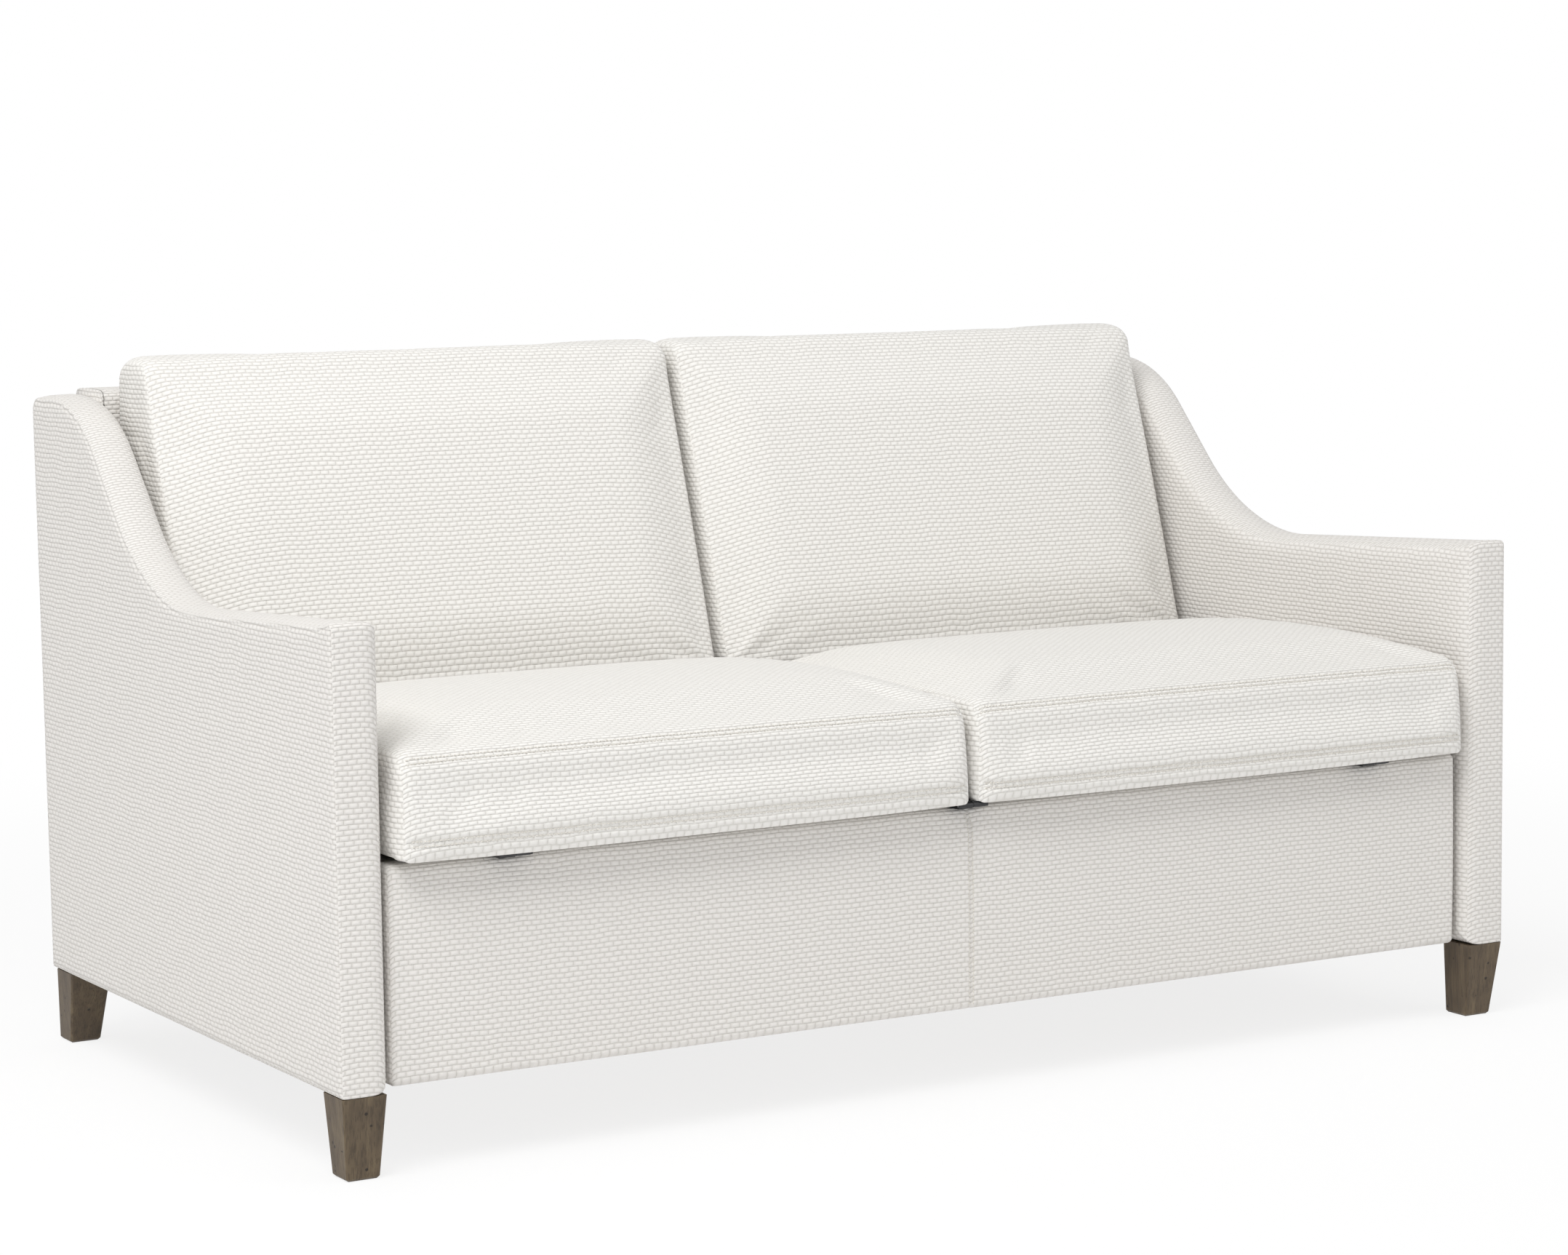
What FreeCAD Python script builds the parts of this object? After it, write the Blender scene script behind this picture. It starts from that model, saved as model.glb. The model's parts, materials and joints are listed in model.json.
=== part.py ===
import FreeCAD, Part
import math
import os

# Sleeper sofa with slim sloping arms and a bed that pulls out from under the seat.
# Sizes are in millimetres. X runs across the sofa, Y from front to back, Z up from the floor.
# Depths are first measured from the front plane of the arms, and save() then centres the
# footprint, so the origin is on the floor in the middle of the sofa.

V = FreeCAD.Vector
LEFT = -1
RIGHT = 1
SIDES = {"left": LEFT, "right": RIGHT}

# Overall form
HALF_WIDTH = 840.0
ARM_THICK = 61.0
ARM_INNER = HALF_WIDTH - ARM_THICK
BACK_Y = 940.0
SEAT_FRONT_Y = -20.0
CENTRE_Y = (BACK_Y + SEAT_FRONT_Y) / 2.0

# Arms: a board core under a padded cover, low at the front and sweeping up to the back
ARM_BOTTOM = 98.0
ARM_FRONT_TOP = 635.0
ARM_REAR_TOP = 850.0
ARM_REAR_FOOT_Y = 932.0
ARM_DIP_Y = 545.0
ARM_DIP_Z = 609.0
ARM_CREST_Y = 785.0
ARM_CREST_Z = 860.0
ARM_DIP_R = 318.0
ARM_CREST_R = 205.0
ARM_PAD = 9.0
ARM_INNER_ROUND = 14.0
ARM_FOOT_ROUND = 3.0
ARM_FRONT_ROUND = 8.0
ARM_REAR_ROUND = 22.0

# Wooden legs. The two depths are those of the front face, at the top and at the foot
LEG_TOP = 55.0
LEG_FOOT = 41.0
LEG_EDGE = 2.0
LEG_TOE = 3.0
LEG_INSET = 1.0
LEG_OUT_TAPER = 9.0
LEG_FRONT_Y = (0.5, 14.5)
LEG_REAR_Y = (863.0, 898.0)
LEG_BOLT_R = 4.0
LEG_BOLT_LOW = 46.0
LEG_BOLT_HIGH = 150.0
LEG_BOLT_LEAN = 1.0 / 7.0

# Fixed back between the arms
BACK_TOP = 858.0
BACK_COVER = 5.0
BACK_BOARD = 4.0
BACK_SEAM = 26.0
BACK_LIP_Y = 842.0
BACK_LIP_Z = 778.0
BACK_FOLD = 4.0
BACK_TOP_ROUND = (9.0, 12.0)
BACK_FOOT_Y = 930.5
BACK_HEAD_Y = 938.5
RAIL_LOW_FRONT_Y = 880.0
RAIL_LOW_TOP = 200.0
RAIL_TOP_FOOT = 780.0
RAIL_EDGE = 4.0
STRETCHER_Y = (420.0, 460.0)
STRETCHER_Z = (100.0, 140.0)
CUSHION_RAIL_Y = (597.0, 622.0)
CUSHION_RAIL_Z = (432.0, 454.0)
RAIL_PLATE_Y = (595.0, 640.0)
RAIL_PLATE_Z = (424.0, 462.0)
BRACKET_WING = 40.0
LOW_BRACKET_Z = (122.0, 182.0)
TUBE_WALL = 2.0
PLATE = 3.0

# Front panel of the bed carriage
PANEL_HALF = 771.0
PANEL_Y = (14.0, 54.0)
PANEL_Z = (101.0, 354.0)
PANEL_BOARD_Y = (32.0, 50.0)
PANEL_EDGE_PAD = 8.0
PANEL_ROUND = 7.0
PANEL_BRACKET = (24.0, 50.0)
PANEL_BRACKET_WALL = 2.0

# Bed carriage
BED_TOP = 354.0
MATTRESS_HALF = 755.0
DECK_Z = (212.0, 224.0)
CARRIAGE_Y = (56.0, 785.0)
SIDE_RAIL_OUT = 764.0
SIDE_RAIL_DEEP = 29.0
SIDE_RAIL_Z = (150.0, 212.0)
CROSS_TUBE = (25.0, 30.0)
SLOT_SIZE = (100.0, 24.0)
SLOT_PITCH = 190.0
SLOT_COLUMNS = 7
SLOT_ROWS = (250.0, 440.0, 630.0)

# Telescopic slides, three nested channels on each side
SLIDE_Y = (60.0, 760.0)
SLIDE_Z = (150.0, 196.0)
SLIDE_WALL = 1.5
SLIDE_GAP = 0.5
SLIDE_MOUTH = 2.0

# Hinge line between the front panel and the seat section
FLIP_Y = -4.0
FLIP_Z = 358.0
FLIP_BARREL_R = 3.0
FLIP_PIN_R = 1.5
FLIP_RUN = 0.06
FLIP_LEAF = 2.0
FLIP_LEAF_HALF = 21.0
FLIP_HINGES = 3
FLIP_PITCH = 620.0
FLIP_KNUCKLE_GAP = 0.3
FLIP_CLEAR = 0.6
FLIP_LOW_REACH = 44.0
FLIP_TAB = 34.0

# Seat section, which turns over to become the foot of the bed. Its cushions lean out over the
# hinge line and are fullest at the middle of their front face
SEAT_HALF = 768.0
SEAT_SPLIT = 1.5
SEAT_FOOT_Y = -12.0
SEAT_SEAM_Y = -10.0
SEAT_REAR_Y = 590.0
SEAT_Z = (362.0, 484.0)
SEAT_REAR_TOP = 460.0
SEAT_CROWN = (24.0, 45.0)
SEAT_END = (14.0, 8.0)
SEAT_WALL_Y = (26.0, 556.0)
SEAT_WALL_X = 734.0
SEAT_DECK_Z = (416.0, 431.0)
SEAT_BAR = 6.0
SEAT_BAR_DEEP = 32.0
SEAT_FRONT_BAR = 2.0
SEAT_INSIDE_Y = 30.0

# Folding legs: two under the carriage, two on the seat section
BED_LEG_Y = 75.0
BED_LEG_Z = 168.0
BED_LEG_X = 600.0
BED_LEG_WIDE = 24.0
BED_LEG_THICK = 8.0
FOOT_LEG_Y = 540.0
FOOT_LEG_Z = 400.0
FOOT_LEG_X = (770.0, 775.0)
FOOT_LEG_WIDE = 22.0
FOOT_BOLT_R = 6.0
FOOT_BOLT_HEAD = (9.0, 2.0)
FOOT_BOLT_SEAT = 0.4
BED_LEG_PLAY = 0.5
BED_EAR_Y = (-12.0, 7.0)
BED_EAR_DROP = 9.0
PIVOT_R = 4.0
PIVOT_RUN = 0.05
BORE_PAST = 1.0
FLOOR_GAP = 1.0

# Posts with rubber pads, on which the seat section rests
REST_Y = (500.0, 524.0)
REST_IN_X = 742.0
REST_PAD = 4.0
REST_FOOT = 2.0

# Head section, which stands behind the back cushions and tips down as the bed comes out
HEAD_Y = 787.0
HEAD_LONG = 412.0
HEAD_PAD = 64.0
HEAD_PAD_Z = (358.0, 764.0)
HEAD_DECK = 16.0
HEAD_DECK_FOOT = 370.0
HEAD_EYE_R = 11.0
HEAD_PIN_R = 5.0
HEAD_CAP = (8.0, 2.0)
HEAD_EAR_LONG = 42.0
HEAD_EAR_NECK = 60.0
CRANK_HIGH = 60.0
CRANK_LOW = 40.0
CRANK_ROUND = 20.0
CRANK_HEEL = (6.0, -9.0)
CRANK_NECK = (-4.0, 10.0)
CRANK_SHORT = 30.0
HEAD_EAR_X = (757.5, 761.0)
HEAD_BAR_X = (761.4, 765.4)

# Back cushions: side profile, front face leaning back 18 degrees
BACK_CUSHION_HALF = 766.0
BACK_CUSHION_GAP = 2.0
LEAN_FOOT = (599.0, 456.0)
LEAN_HEAD = (740.0, 901.0)
LEAN_CROWN = (10.0, 28.0)
CUSHION_TOP = (838.0, 897.0)
CUSHION_ARCH = (3.0, 9.0)
CUSHION_END = (12.0, 16.0)
CUSHION_LEDGE_Z = 802.0
CUSHION_WAIST = (781.0, 772.0)
CUSHION_HIP = (781.0, 632.0)
CUSHION_SCOOP = (734.0, 530.0)
CUSHION_SEAT = (661.0, 456.0)

# How far from a cushion's end its profiles stand, and how far in its rounded corner ends
END_RUN = 14.0
SEAT_GAPS = (0.0, 4.0, END_RUN, 120.0)
BACK_GAPS = (0.0, 4.0, END_RUN, 60.0, 160.0)


def box(x0, x1, y0, y1, z0, z1):
    return Part.makeBox(x1 - x0, y1 - y0, z1 - z0, V(x0, y0, z0))


def rod_x(radius, x0, x1, y, z):
    return Part.makeCylinder(radius, x1 - x0, V(x0, y, z), V(1, 0, 0))


def hex_rod_z(radius, z0, z1, x, y):
    """A six-sided bar, plain enough for a bolt that nothing shows."""
    corners = []
    for i in range(6):
        turn = math.radians(60.0 * i)
        corners.append(V(x + radius * math.cos(turn), y + radius * math.sin(turn), z0))
    return Part.Face(Part.makePolygon(corners + corners[:1])).extrude(V(0, 0, z1 - z0))


def mirrored(shape, side):
    """The parts are drawn on the right, and this gives the one on the stated side."""
    if side == RIGHT:
        return shape
    return shape.mirror(V(0, 0, 0), V(1, 0, 0))


def both(shape):
    return Part.makeCompound([mirrored(shape, LEFT), shape])


def fused(shapes):
    whole = shapes[0].multiFuse(shapes[1:])
    return whole.removeSplitter()


def tube_x(x0, x1, y, z):
    """A rectangular steel tube along X with open ends."""
    outer = box(x0, x1, y[0], y[1], z[0], z[1])
    y_in = (y[0] + TUBE_WALL, y[1] - TUBE_WALL)
    z_in = (z[0] + TUBE_WALL, z[1] - TUBE_WALL)
    return outer.cut(box(x0, x1, y_in[0], y_in[1], z_in[0], z_in[1]))


def rounded_wire(x, corners):
    """A closed outline in the plane at x. Each corner is (y, z, radius)."""
    edges = []
    joints = []
    count = len(corners)
    for i in range(count):
        here = V(x, corners[i][0], corners[i][1])
        before = V(x, corners[i - 1][0], corners[i - 1][1]) - here
        after = V(x, corners[(i + 1) % count][0], corners[(i + 1) % count][1]) - here
        radius = corners[i][2]
        before.normalize()
        after.normalize()
        if radius == 0:
            joints.append((here, None, here))
            continue
        half = before.getAngle(after) / 2.0
        reach = radius / math.tan(half)
        towards = before + after
        towards.normalize()
        middle = here + towards * (radius / math.sin(half) - radius)
        joints.append((here + before * reach, middle, here + after * reach))
    for i in range(count):
        start, middle, end = joints[i]
        if middle is not None:
            edges.append(Part.Arc(start, middle, end).toShape())
        edges.append(Part.makeLine(end, joints[(i + 1) % count][0]))
    return Part.Wire(edges)


def across(corners, x0, x1):
    """An outline in the Y-Z plane drawn out along X."""
    return Part.Face(rounded_wire(x0, corners)).extrude(V(x1 - x0, 0, 0))


def arm_outline():
    return [
        (0.0, ARM_BOTTOM, ARM_FOOT_ROUND),
        (0.0, ARM_FRONT_TOP, ARM_FRONT_ROUND),
        (ARM_DIP_Y, ARM_DIP_Z, ARM_DIP_R),
        (ARM_CREST_Y, ARM_CREST_Z, ARM_CREST_R),
        (BACK_Y, ARM_REAR_TOP, ARM_REAR_ROUND),
        (ARM_REAR_FOOT_Y, ARM_BOTTOM, ARM_FOOT_ROUND),
    ]


def arm_board(side):
    """The board inside the arm follows its outline, one pad thickness in."""
    outline = rounded_wire(ARM_INNER + ARM_PAD, arm_outline())
    inset = Part.Face(outline).makeOffset2D(-ARM_PAD)
    return mirrored(inset.extrude(V(ARM_THICK - 2 * ARM_PAD, 0, 0)), side)


def leg_bolt_places():
    """Where the bolts stand: near the middle of each leg, a little down its lean."""
    x = HALF_WIDTH - LEG_INSET - LEG_TOP / 2.0
    places = []
    for top_y, foot_y in (LEG_FRONT_Y, LEG_REAR_Y):
        lean = (foot_y - top_y) * LEG_BOLT_LEAN
        places.append((x, top_y + LEG_TOP / 2.0 + lean))
    return places


def leg_bolt(x, y):
    return hex_rod_z(LEG_BOLT_R, LEG_BOLT_LOW, LEG_BOLT_HIGH, x, y)


def leg_bolts():
    """Hanger bolts that hold the four legs to the arm boards."""
    return both(Part.makeCompound([leg_bolt(x, y) for x, y in leg_bolt_places()]))


def drilled(shape, side):
    """Takes the bolt holes of the legs on one side out of a part."""
    for x, y in leg_bolt_places():
        shape = shape.cut(mirrored(leg_bolt(x, y), side))
    return shape


def arm_cover(side):
    """Padded cover: soft inner shoulder, and a sharp outer edge where its seam runs."""
    body = across(arm_outline(), ARM_INNER, HALF_WIDTH)
    shoulder = []
    for edge in body.Edges:
        limits = edge.BoundBox
        if limits.XMax < ARM_INNER + 0.01 and limits.ZMin > ARM_BOTTOM + ARM_FOOT_ROUND - 1.0:
            shoulder.append(edge)
    return mirrored(body.makeFillet(ARM_INNER_ROUND, shoulder), side)


def wood_leg(side, depths):
    """A square leg that tapers to an eased toe. The rear ones lean back at the foot."""
    top_y, foot_y = depths
    top_x = HALF_WIDTH - LEG_INSET - LEG_TOP
    foot_x = HALF_WIDTH - LEG_INSET - LEG_OUT_TAPER - LEG_FOOT
    leg = Part.makeWedge(
        foot_x, 0.0, -foot_y - LEG_FOOT, -top_y - LEG_TOP, top_x,
        foot_x + LEG_FOOT, ARM_BOTTOM, -foot_y, -top_y, top_x + LEG_TOP)
    leg.rotate(V(0, 0, 0), V(1, 0, 0), 90)
    corners = [edge for edge in leg.Edges if edge.BoundBox.ZLength > 1.0]
    leg = leg.makeChamfer(LEG_EDGE, corners)
    sole = [edge for edge in leg.Edges if edge.BoundBox.ZMax < 0.01]
    leg = leg.makeChamfer(LEG_TOE, sole)
    return drilled(mirrored(leg, side), side)


def back_plane(z, inset):
    """Depth of the raked back at height z, less an inset."""
    share = (z - ARM_BOTTOM) / (BACK_TOP - ARM_BOTTOM)
    return BACK_FOOT_Y + share * (BACK_HEAD_Y - BACK_FOOT_Y) - inset


def back_cover():
    """The outside back, which turns under the low rail at its foot."""
    t = BACK_COVER
    low = ARM_BOTTOM + t
    high = BACK_TOP - BACK_SEAM
    corners = [
        (back_plane(high, 0.0), high, 0.0),
        (back_plane(ARM_BOTTOM, 0.0), ARM_BOTTOM, BACK_FOLD),
        (RAIL_LOW_FRONT_Y, ARM_BOTTOM, 0.0),
        (RAIL_LOW_FRONT_Y, low, 0.0),
        (back_plane(low, t), low, 0.0),
        (back_plane(high, t), high, 0.0),
    ]
    return across(corners, -ARM_INNER, ARM_INNER)


def back_top_cover():
    """Cover over the top rail, from its front lip to the seam at the outside back."""
    t = BACK_COVER
    low = BACK_TOP - BACK_SEAM
    front_round, rear_round = BACK_TOP_ROUND
    corners = [
        (BACK_LIP_Y, BACK_LIP_Z, 0.0),
        (BACK_LIP_Y, BACK_TOP, front_round),
        (back_plane(BACK_TOP, 0.0), BACK_TOP, rear_round),
        (back_plane(low, 0.0), low, 0.0),
        (back_plane(low, t), low, 0.0),
        (back_plane(BACK_TOP - t, t), BACK_TOP - t, rear_round - t),
        (BACK_LIP_Y + t, BACK_TOP - t, front_round - t),
        (BACK_LIP_Y + t, BACK_LIP_Z, 0.0),
    ]
    return across(corners, -ARM_INNER, ARM_INNER)


def back_board():
    """Thin board that stiffens the outside back."""
    inner = BACK_COVER + BACK_BOARD
    low = ARM_BOTTOM + BACK_COVER
    high = BACK_TOP - BACK_SEAM
    corners = [
        (back_plane(low, inner), low, 0.0),
        (back_plane(high, inner), high, 0.0),
        (back_plane(high, BACK_COVER), high, 0.0),
        (back_plane(low, BACK_COVER), low, 0.0),
    ]
    return across(corners, -ARM_INNER, ARM_INNER)


def back_top_rail():
    inner = BACK_COVER + BACK_BOARD
    high = BACK_TOP - BACK_COVER
    corners = [
        (BACK_LIP_Y + BACK_COVER, RAIL_TOP_FOOT, 0.0),
        (BACK_LIP_Y + BACK_COVER, high, RAIL_EDGE),
        (back_plane(high, inner), high, RAIL_EDGE),
        (back_plane(RAIL_TOP_FOOT, inner), RAIL_TOP_FOOT, 0.0),
    ]
    return across(corners, -ARM_INNER, ARM_INNER)


def back_low_rail():
    inner = BACK_COVER + BACK_BOARD
    low = ARM_BOTTOM + BACK_COVER
    corners = [
        (RAIL_LOW_FRONT_Y, low, 0.0),
        (RAIL_LOW_FRONT_Y, RAIL_LOW_TOP, 0.0),
        (back_plane(RAIL_LOW_TOP, inner), RAIL_LOW_TOP, 0.0),
        (back_plane(low, inner), low, 0.0),
    ]
    return across(corners, -ARM_INNER, ARM_INNER)


def frame_brackets():
    """Steel angles that tie the low rail and the stretcher to the arms."""
    stretcher_z = (STRETCHER_Z[0] + PLATE, STRETCHER_Z[1] - PLATE)
    angles = []
    for y, (low, high) in ((RAIL_LOW_FRONT_Y, LOW_BRACKET_Z), (STRETCHER_Y[0], stretcher_z)):
        wing = box(ARM_INNER - PLATE, ARM_INNER, y - BRACKET_WING, y, low, high)
        face = box(ARM_INNER - BRACKET_WING, ARM_INNER, y - PLATE, y, low, high)
        angles.append(fused([wing, face]))
    return both(Part.makeCompound(angles))


def cushion_rail():
    """Steel tube that carries the back cushions, welded to a plate at each arm."""
    reach = ARM_INNER - PLATE
    tube = tube_x(-reach, reach, CUSHION_RAIL_Y, CUSHION_RAIL_Z)
    plate = box(reach, ARM_INNER, *RAIL_PLATE_Y, *RAIL_PLATE_Z)
    return Part.makeCompound([tube, plate, mirrored(plate, LEFT)])


def channel(web, lips, z, wall, y):
    """A channel along Y. web is its X span, and lips the X that its two lips reach."""
    low_x = min(web[0], lips)
    high_x = max(web[1], lips)
    back = box(web[0], web[1], y[0], y[1], z[0], z[1])
    floor = box(low_x, high_x, y[0], y[1], z[0], z[0] + wall)
    roof = box(low_x, high_x, y[0], y[1], z[1] - wall, z[1])
    return fused([back, floor, roof])


def slide_outer(side):
    """Fixed channel of the telescopic slide, screwed to the arm."""
    web = (ARM_INNER - SLIDE_WALL, ARM_INNER)
    return mirrored(channel(web, SIDE_RAIL_OUT + SLIDE_MOUTH, SLIDE_Z, SLIDE_WALL, SLIDE_Y), side)


def slide_middle(side):
    """Middle channel, nested in the fixed one."""
    step = SLIDE_WALL + SLIDE_GAP
    web = (ARM_INNER - step - SLIDE_WALL, ARM_INNER - step)
    z = (SLIDE_Z[0] + step, SLIDE_Z[1] - step)
    lips = SIDE_RAIL_OUT + SLIDE_MOUTH + SLIDE_GAP
    return mirrored(channel(web, lips, z, SLIDE_WALL, SLIDE_Y), side)


def slide_inner(side):
    """Inner channel, fixed to the bed's side rail, open towards the arm."""
    step = 2 * (SLIDE_WALL + SLIDE_GAP)
    web = (SIDE_RAIL_OUT, SIDE_RAIL_OUT + SLIDE_WALL)
    z = (SLIDE_Z[0] + step, SLIDE_Z[1] - step)
    lips = ARM_INNER - step - SLIDE_GAP
    return mirrored(channel(web, lips, z, SLIDE_WALL, SLIDE_Y), side)


def front_panel_board():
    edge = PANEL_EDGE_PAD
    x = PANEL_HALF - edge
    return box(-x, x, PANEL_BOARD_Y[0], PANEL_BOARD_Y[1], PANEL_Z[0] + edge, PANEL_Z[1] - edge)


def front_panel_cover():
    """Padded cover with eased front edges, closed round its board."""
    body = box(-PANEL_HALF, PANEL_HALF, *PANEL_Y, *PANEL_Z)
    front_edges = []
    for edge in body.Edges:
        if edge.BoundBox.YMax < PANEL_Y[0] + 0.01:
            front_edges.append(edge)
    return body.makeFillet(PANEL_ROUND, front_edges).cut(front_panel_board())


def panel_brackets():
    """Angles that hold the front panel to the side rails."""
    x = SIDE_RAIL_OUT - PLATE
    y = PANEL_Y[1]
    wall = PANEL_BRACKET_WALL
    low, high = SIDE_RAIL_Z[0] + PLATE + wall, SIDE_RAIL_Z[1] - PLATE - wall
    face = box(x - PANEL_BRACKET[0], x, y, y + wall, low, high)
    wing = box(x - wall, x, y, y + PANEL_BRACKET[1], low, high)
    return both(fused([face, wing]))


def side_rail(side):
    """Folded steel channel. The upright plates pass through slots in its top."""
    web = (SIDE_RAIL_OUT - PLATE, SIDE_RAIL_OUT)
    lips = SIDE_RAIL_OUT - SIDE_RAIL_DEEP
    rail = mirrored(channel(web, lips, SIDE_RAIL_Z, PLATE, CARRIAGE_Y), side)
    return rail.cut(head_ears()).cut(seat_rests())


def cross_tube(y):
    reach = SIDE_RAIL_OUT - SIDE_RAIL_DEEP
    z = (SIDE_RAIL_Z[1] - CROSS_TUBE[1], SIDE_RAIL_Z[1])
    return tube_x(-reach, reach, (y, y + CROSS_TUBE[0]), z)


def centre_mattress():
    return box(-MATTRESS_HALF, MATTRESS_HALF, CARRIAGE_Y[0], CARRIAGE_Y[1], DECK_Z[1], BED_TOP)


def centre_deck():
    """Deck board with rows of air slots."""
    deck = box(-MATTRESS_HALF, MATTRESS_HALF, CARRIAGE_Y[0], CARRIAGE_Y[1], DECK_Z[0], DECK_Z[1])
    long, wide = SLOT_SIZE
    slots = []
    for column in range(SLOT_COLUMNS):
        x = (column - (SLOT_COLUMNS - 1) / 2.0) * SLOT_PITCH - long / 2.0
        for row in SLOT_ROWS:
            slots.append(box(x, x + long, row - wide / 2.0, row + wide / 2.0, *DECK_Z))
    return deck.cut(Part.makeCompound(slots))


def hinge_places():
    first = -FLIP_PITCH * (FLIP_HINGES - 1) / 2.0
    return [first + i * FLIP_PITCH for i in range(FLIP_HINGES)]


def knuckle_span(x, kind):
    """Each leaf has one knuckle, and the seat's runs beside the panel's on their pin."""
    if kind == "panel":
        return x - FLIP_LEAF_HALF, x - FLIP_KNUCKLE_GAP
    return x + FLIP_KNUCKLE_GAP, x + FLIP_LEAF_HALF


def flip_leaf(x, kind):
    """One leaf of a hinge on the hinge line, with its knuckle and screw plate."""
    pieces = []
    if kind == "panel":
        low, high = PANEL_Z[1], PANEL_Z[1] + FLIP_LEAF
        reach = FLIP_LOW_REACH
        bore = FLIP_PIN_R
    else:
        low, high = SEAT_Z[0] - FLIP_LEAF, SEAT_Z[0]
        reach = SEAT_INSIDE_Y
        bore = FLIP_PIN_R + FLIP_RUN
    clear = FLIP_Y + FLIP_BARREL_R + FLIP_CLEAR
    pieces.append(box(x - FLIP_LEAF_HALF, x + FLIP_LEAF_HALF, clear, reach, low, high))
    x0, x1 = knuckle_span(x, kind)
    pieces.append(box(x0, x1, FLIP_Y, clear, low, high))
    pieces.append(rod_x(FLIP_BARREL_R, x0, x1, FLIP_Y, FLIP_Z))
    if kind == "seat":
        tab = SEAT_WALL_Y[0] + SEAT_FRONT_BAR
        pieces.append(box(x - FLIP_LEAF_HALF, x + FLIP_LEAF_HALF, tab, reach, high, high + FLIP_TAB))
    leaf = fused(pieces)
    half = FLIP_LEAF_HALF + BORE_PAST
    return leaf.cut(rod_x(bore, x - half, x + half, FLIP_Y, FLIP_Z))


def flip_leaves(kind):
    return Part.makeCompound([flip_leaf(x, kind) for x in hinge_places()])


def flip_pins():
    pins = []
    for x in hinge_places():
        pins.append(rod_x(FLIP_PIN_R, x - FLIP_LEAF_HALF, x + FLIP_LEAF_HALF, FLIP_Y, FLIP_Z))
    return Part.makeCompound(pins)


def lens(share):
    """Fullness of a cushion across its width, none at the sides and 1 in the middle."""
    return 1.0 - (2.0 * share - 1.0) ** 4


def between(limits, full):
    """From the value at a cushion's end to the one in its middle."""
    return limits[0] + (limits[1] - limits[0]) * full


def rounded_back(gap, radius):
    """How far a rounded end stands back at a gap from the cushion's side."""
    left = max(0.0, 1.0 - gap / END_RUN)
    return radius * (1.0 - math.sqrt(1.0 - left * left))


def lofted(section, x0, x1, gaps):
    """A ruled loft through a cushion's profiles, closest together at its rounded ends."""
    width = x1 - x0
    places = list(gaps) + [width / 2.0] + [width - gap for gap in reversed(gaps)]
    wires = []
    for place in places:
        wires.append(section(x0 + place, lens(place / width), min(place, width - place)))
    return Part.makeLoft(wires, True, True)


def seat_profile(x, full, gap):
    """Side profile of a seat cushion: bulged front, crowned top, flat where it sits."""
    back = rounded_back(gap, SEAT_END[0])
    drop = rounded_back(gap, SEAT_END[1])
    low, seam = SEAT_Z[0], SEAT_Z[1] - drop
    rear, rear_top = SEAT_REAR_Y - drop, SEAT_REAR_TOP - drop
    foot_front = V(x, SEAT_FOOT_Y + back, low)
    fullest = V(x, SEAT_FRONT_Y + back, (low + seam) / 2.0)
    top_front = V(x, SEAT_SEAM_Y + back, seam)
    crown = V(x, (top_front.y + rear) / 2.0, (seam + rear_top) / 2.0 + between(SEAT_CROWN, full))
    top_rear = V(x, rear, rear_top)
    foot_rear = V(x, rear, low)
    return Part.Wire([
        Part.makeLine(foot_rear, foot_front),
        Part.Arc(foot_front, fullest, top_front).toShape(),
        Part.Arc(top_front, crown, top_rear).toShape(),
        Part.makeLine(top_rear, foot_rear),
    ])


def seat_cushion(side):
    """Seat cushion: it caps the deck and hides the foot mattress under it."""
    whole = lofted(seat_profile, SEAT_SPLIT, SEAT_HALF, SEAT_GAPS)
    hollow = box(0.0, SEAT_WALL_X, *SEAT_WALL_Y, SEAT_Z[0] - BORE_PAST, SEAT_DECK_Z[1])
    radius = FOOT_BOLT_R + BED_LEG_PLAY
    passage = rod_x(radius, SEAT_WALL_X - BORE_PAST, SEAT_HALF + BORE_PAST, FOOT_LEG_Y, FOOT_LEG_Z)
    return mirrored(whole.cut(hollow).cut(passage), side)


def seat_deck():
    reach = SEAT_WALL_X
    return box(-reach, reach, SEAT_WALL_Y[0] + SEAT_FRONT_BAR, SEAT_WALL_Y[1], *SEAT_DECK_Z)


def seat_front_bar():
    """Flat steel bar behind the cushions' front wall. The hinges are fixed to it."""
    y = SEAT_WALL_Y[0]
    return box(-SEAT_WALL_X, SEAT_WALL_X, y, y + SEAT_FRONT_BAR, SEAT_Z[0], SEAT_DECK_Z[1])


def seat_side_bar(side):
    """Flat steel bar under the deck's edge. The folding leg pivots on it."""
    x0, x1 = SEAT_WALL_X - SEAT_BAR, SEAT_WALL_X
    top = SEAT_DECK_Z[0]
    bar = box(x0, x1, SEAT_INSIDE_Y, SEAT_WALL_Y[1], top - SEAT_BAR_DEEP, top)
    hole = rod_x(FOOT_BOLT_R, x0 - BORE_PAST, x1 + BORE_PAST, FOOT_LEG_Y, FOOT_LEG_Z)
    return mirrored(bar.cut(hole), side)


def foot_mattress():
    x = SEAT_WALL_X - SEAT_BAR - 1.0
    return box(-x, x, SEAT_INSIDE_Y, SEAT_WALL_Y[1], SEAT_Z[0], SEAT_DECK_Z[0])


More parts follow.
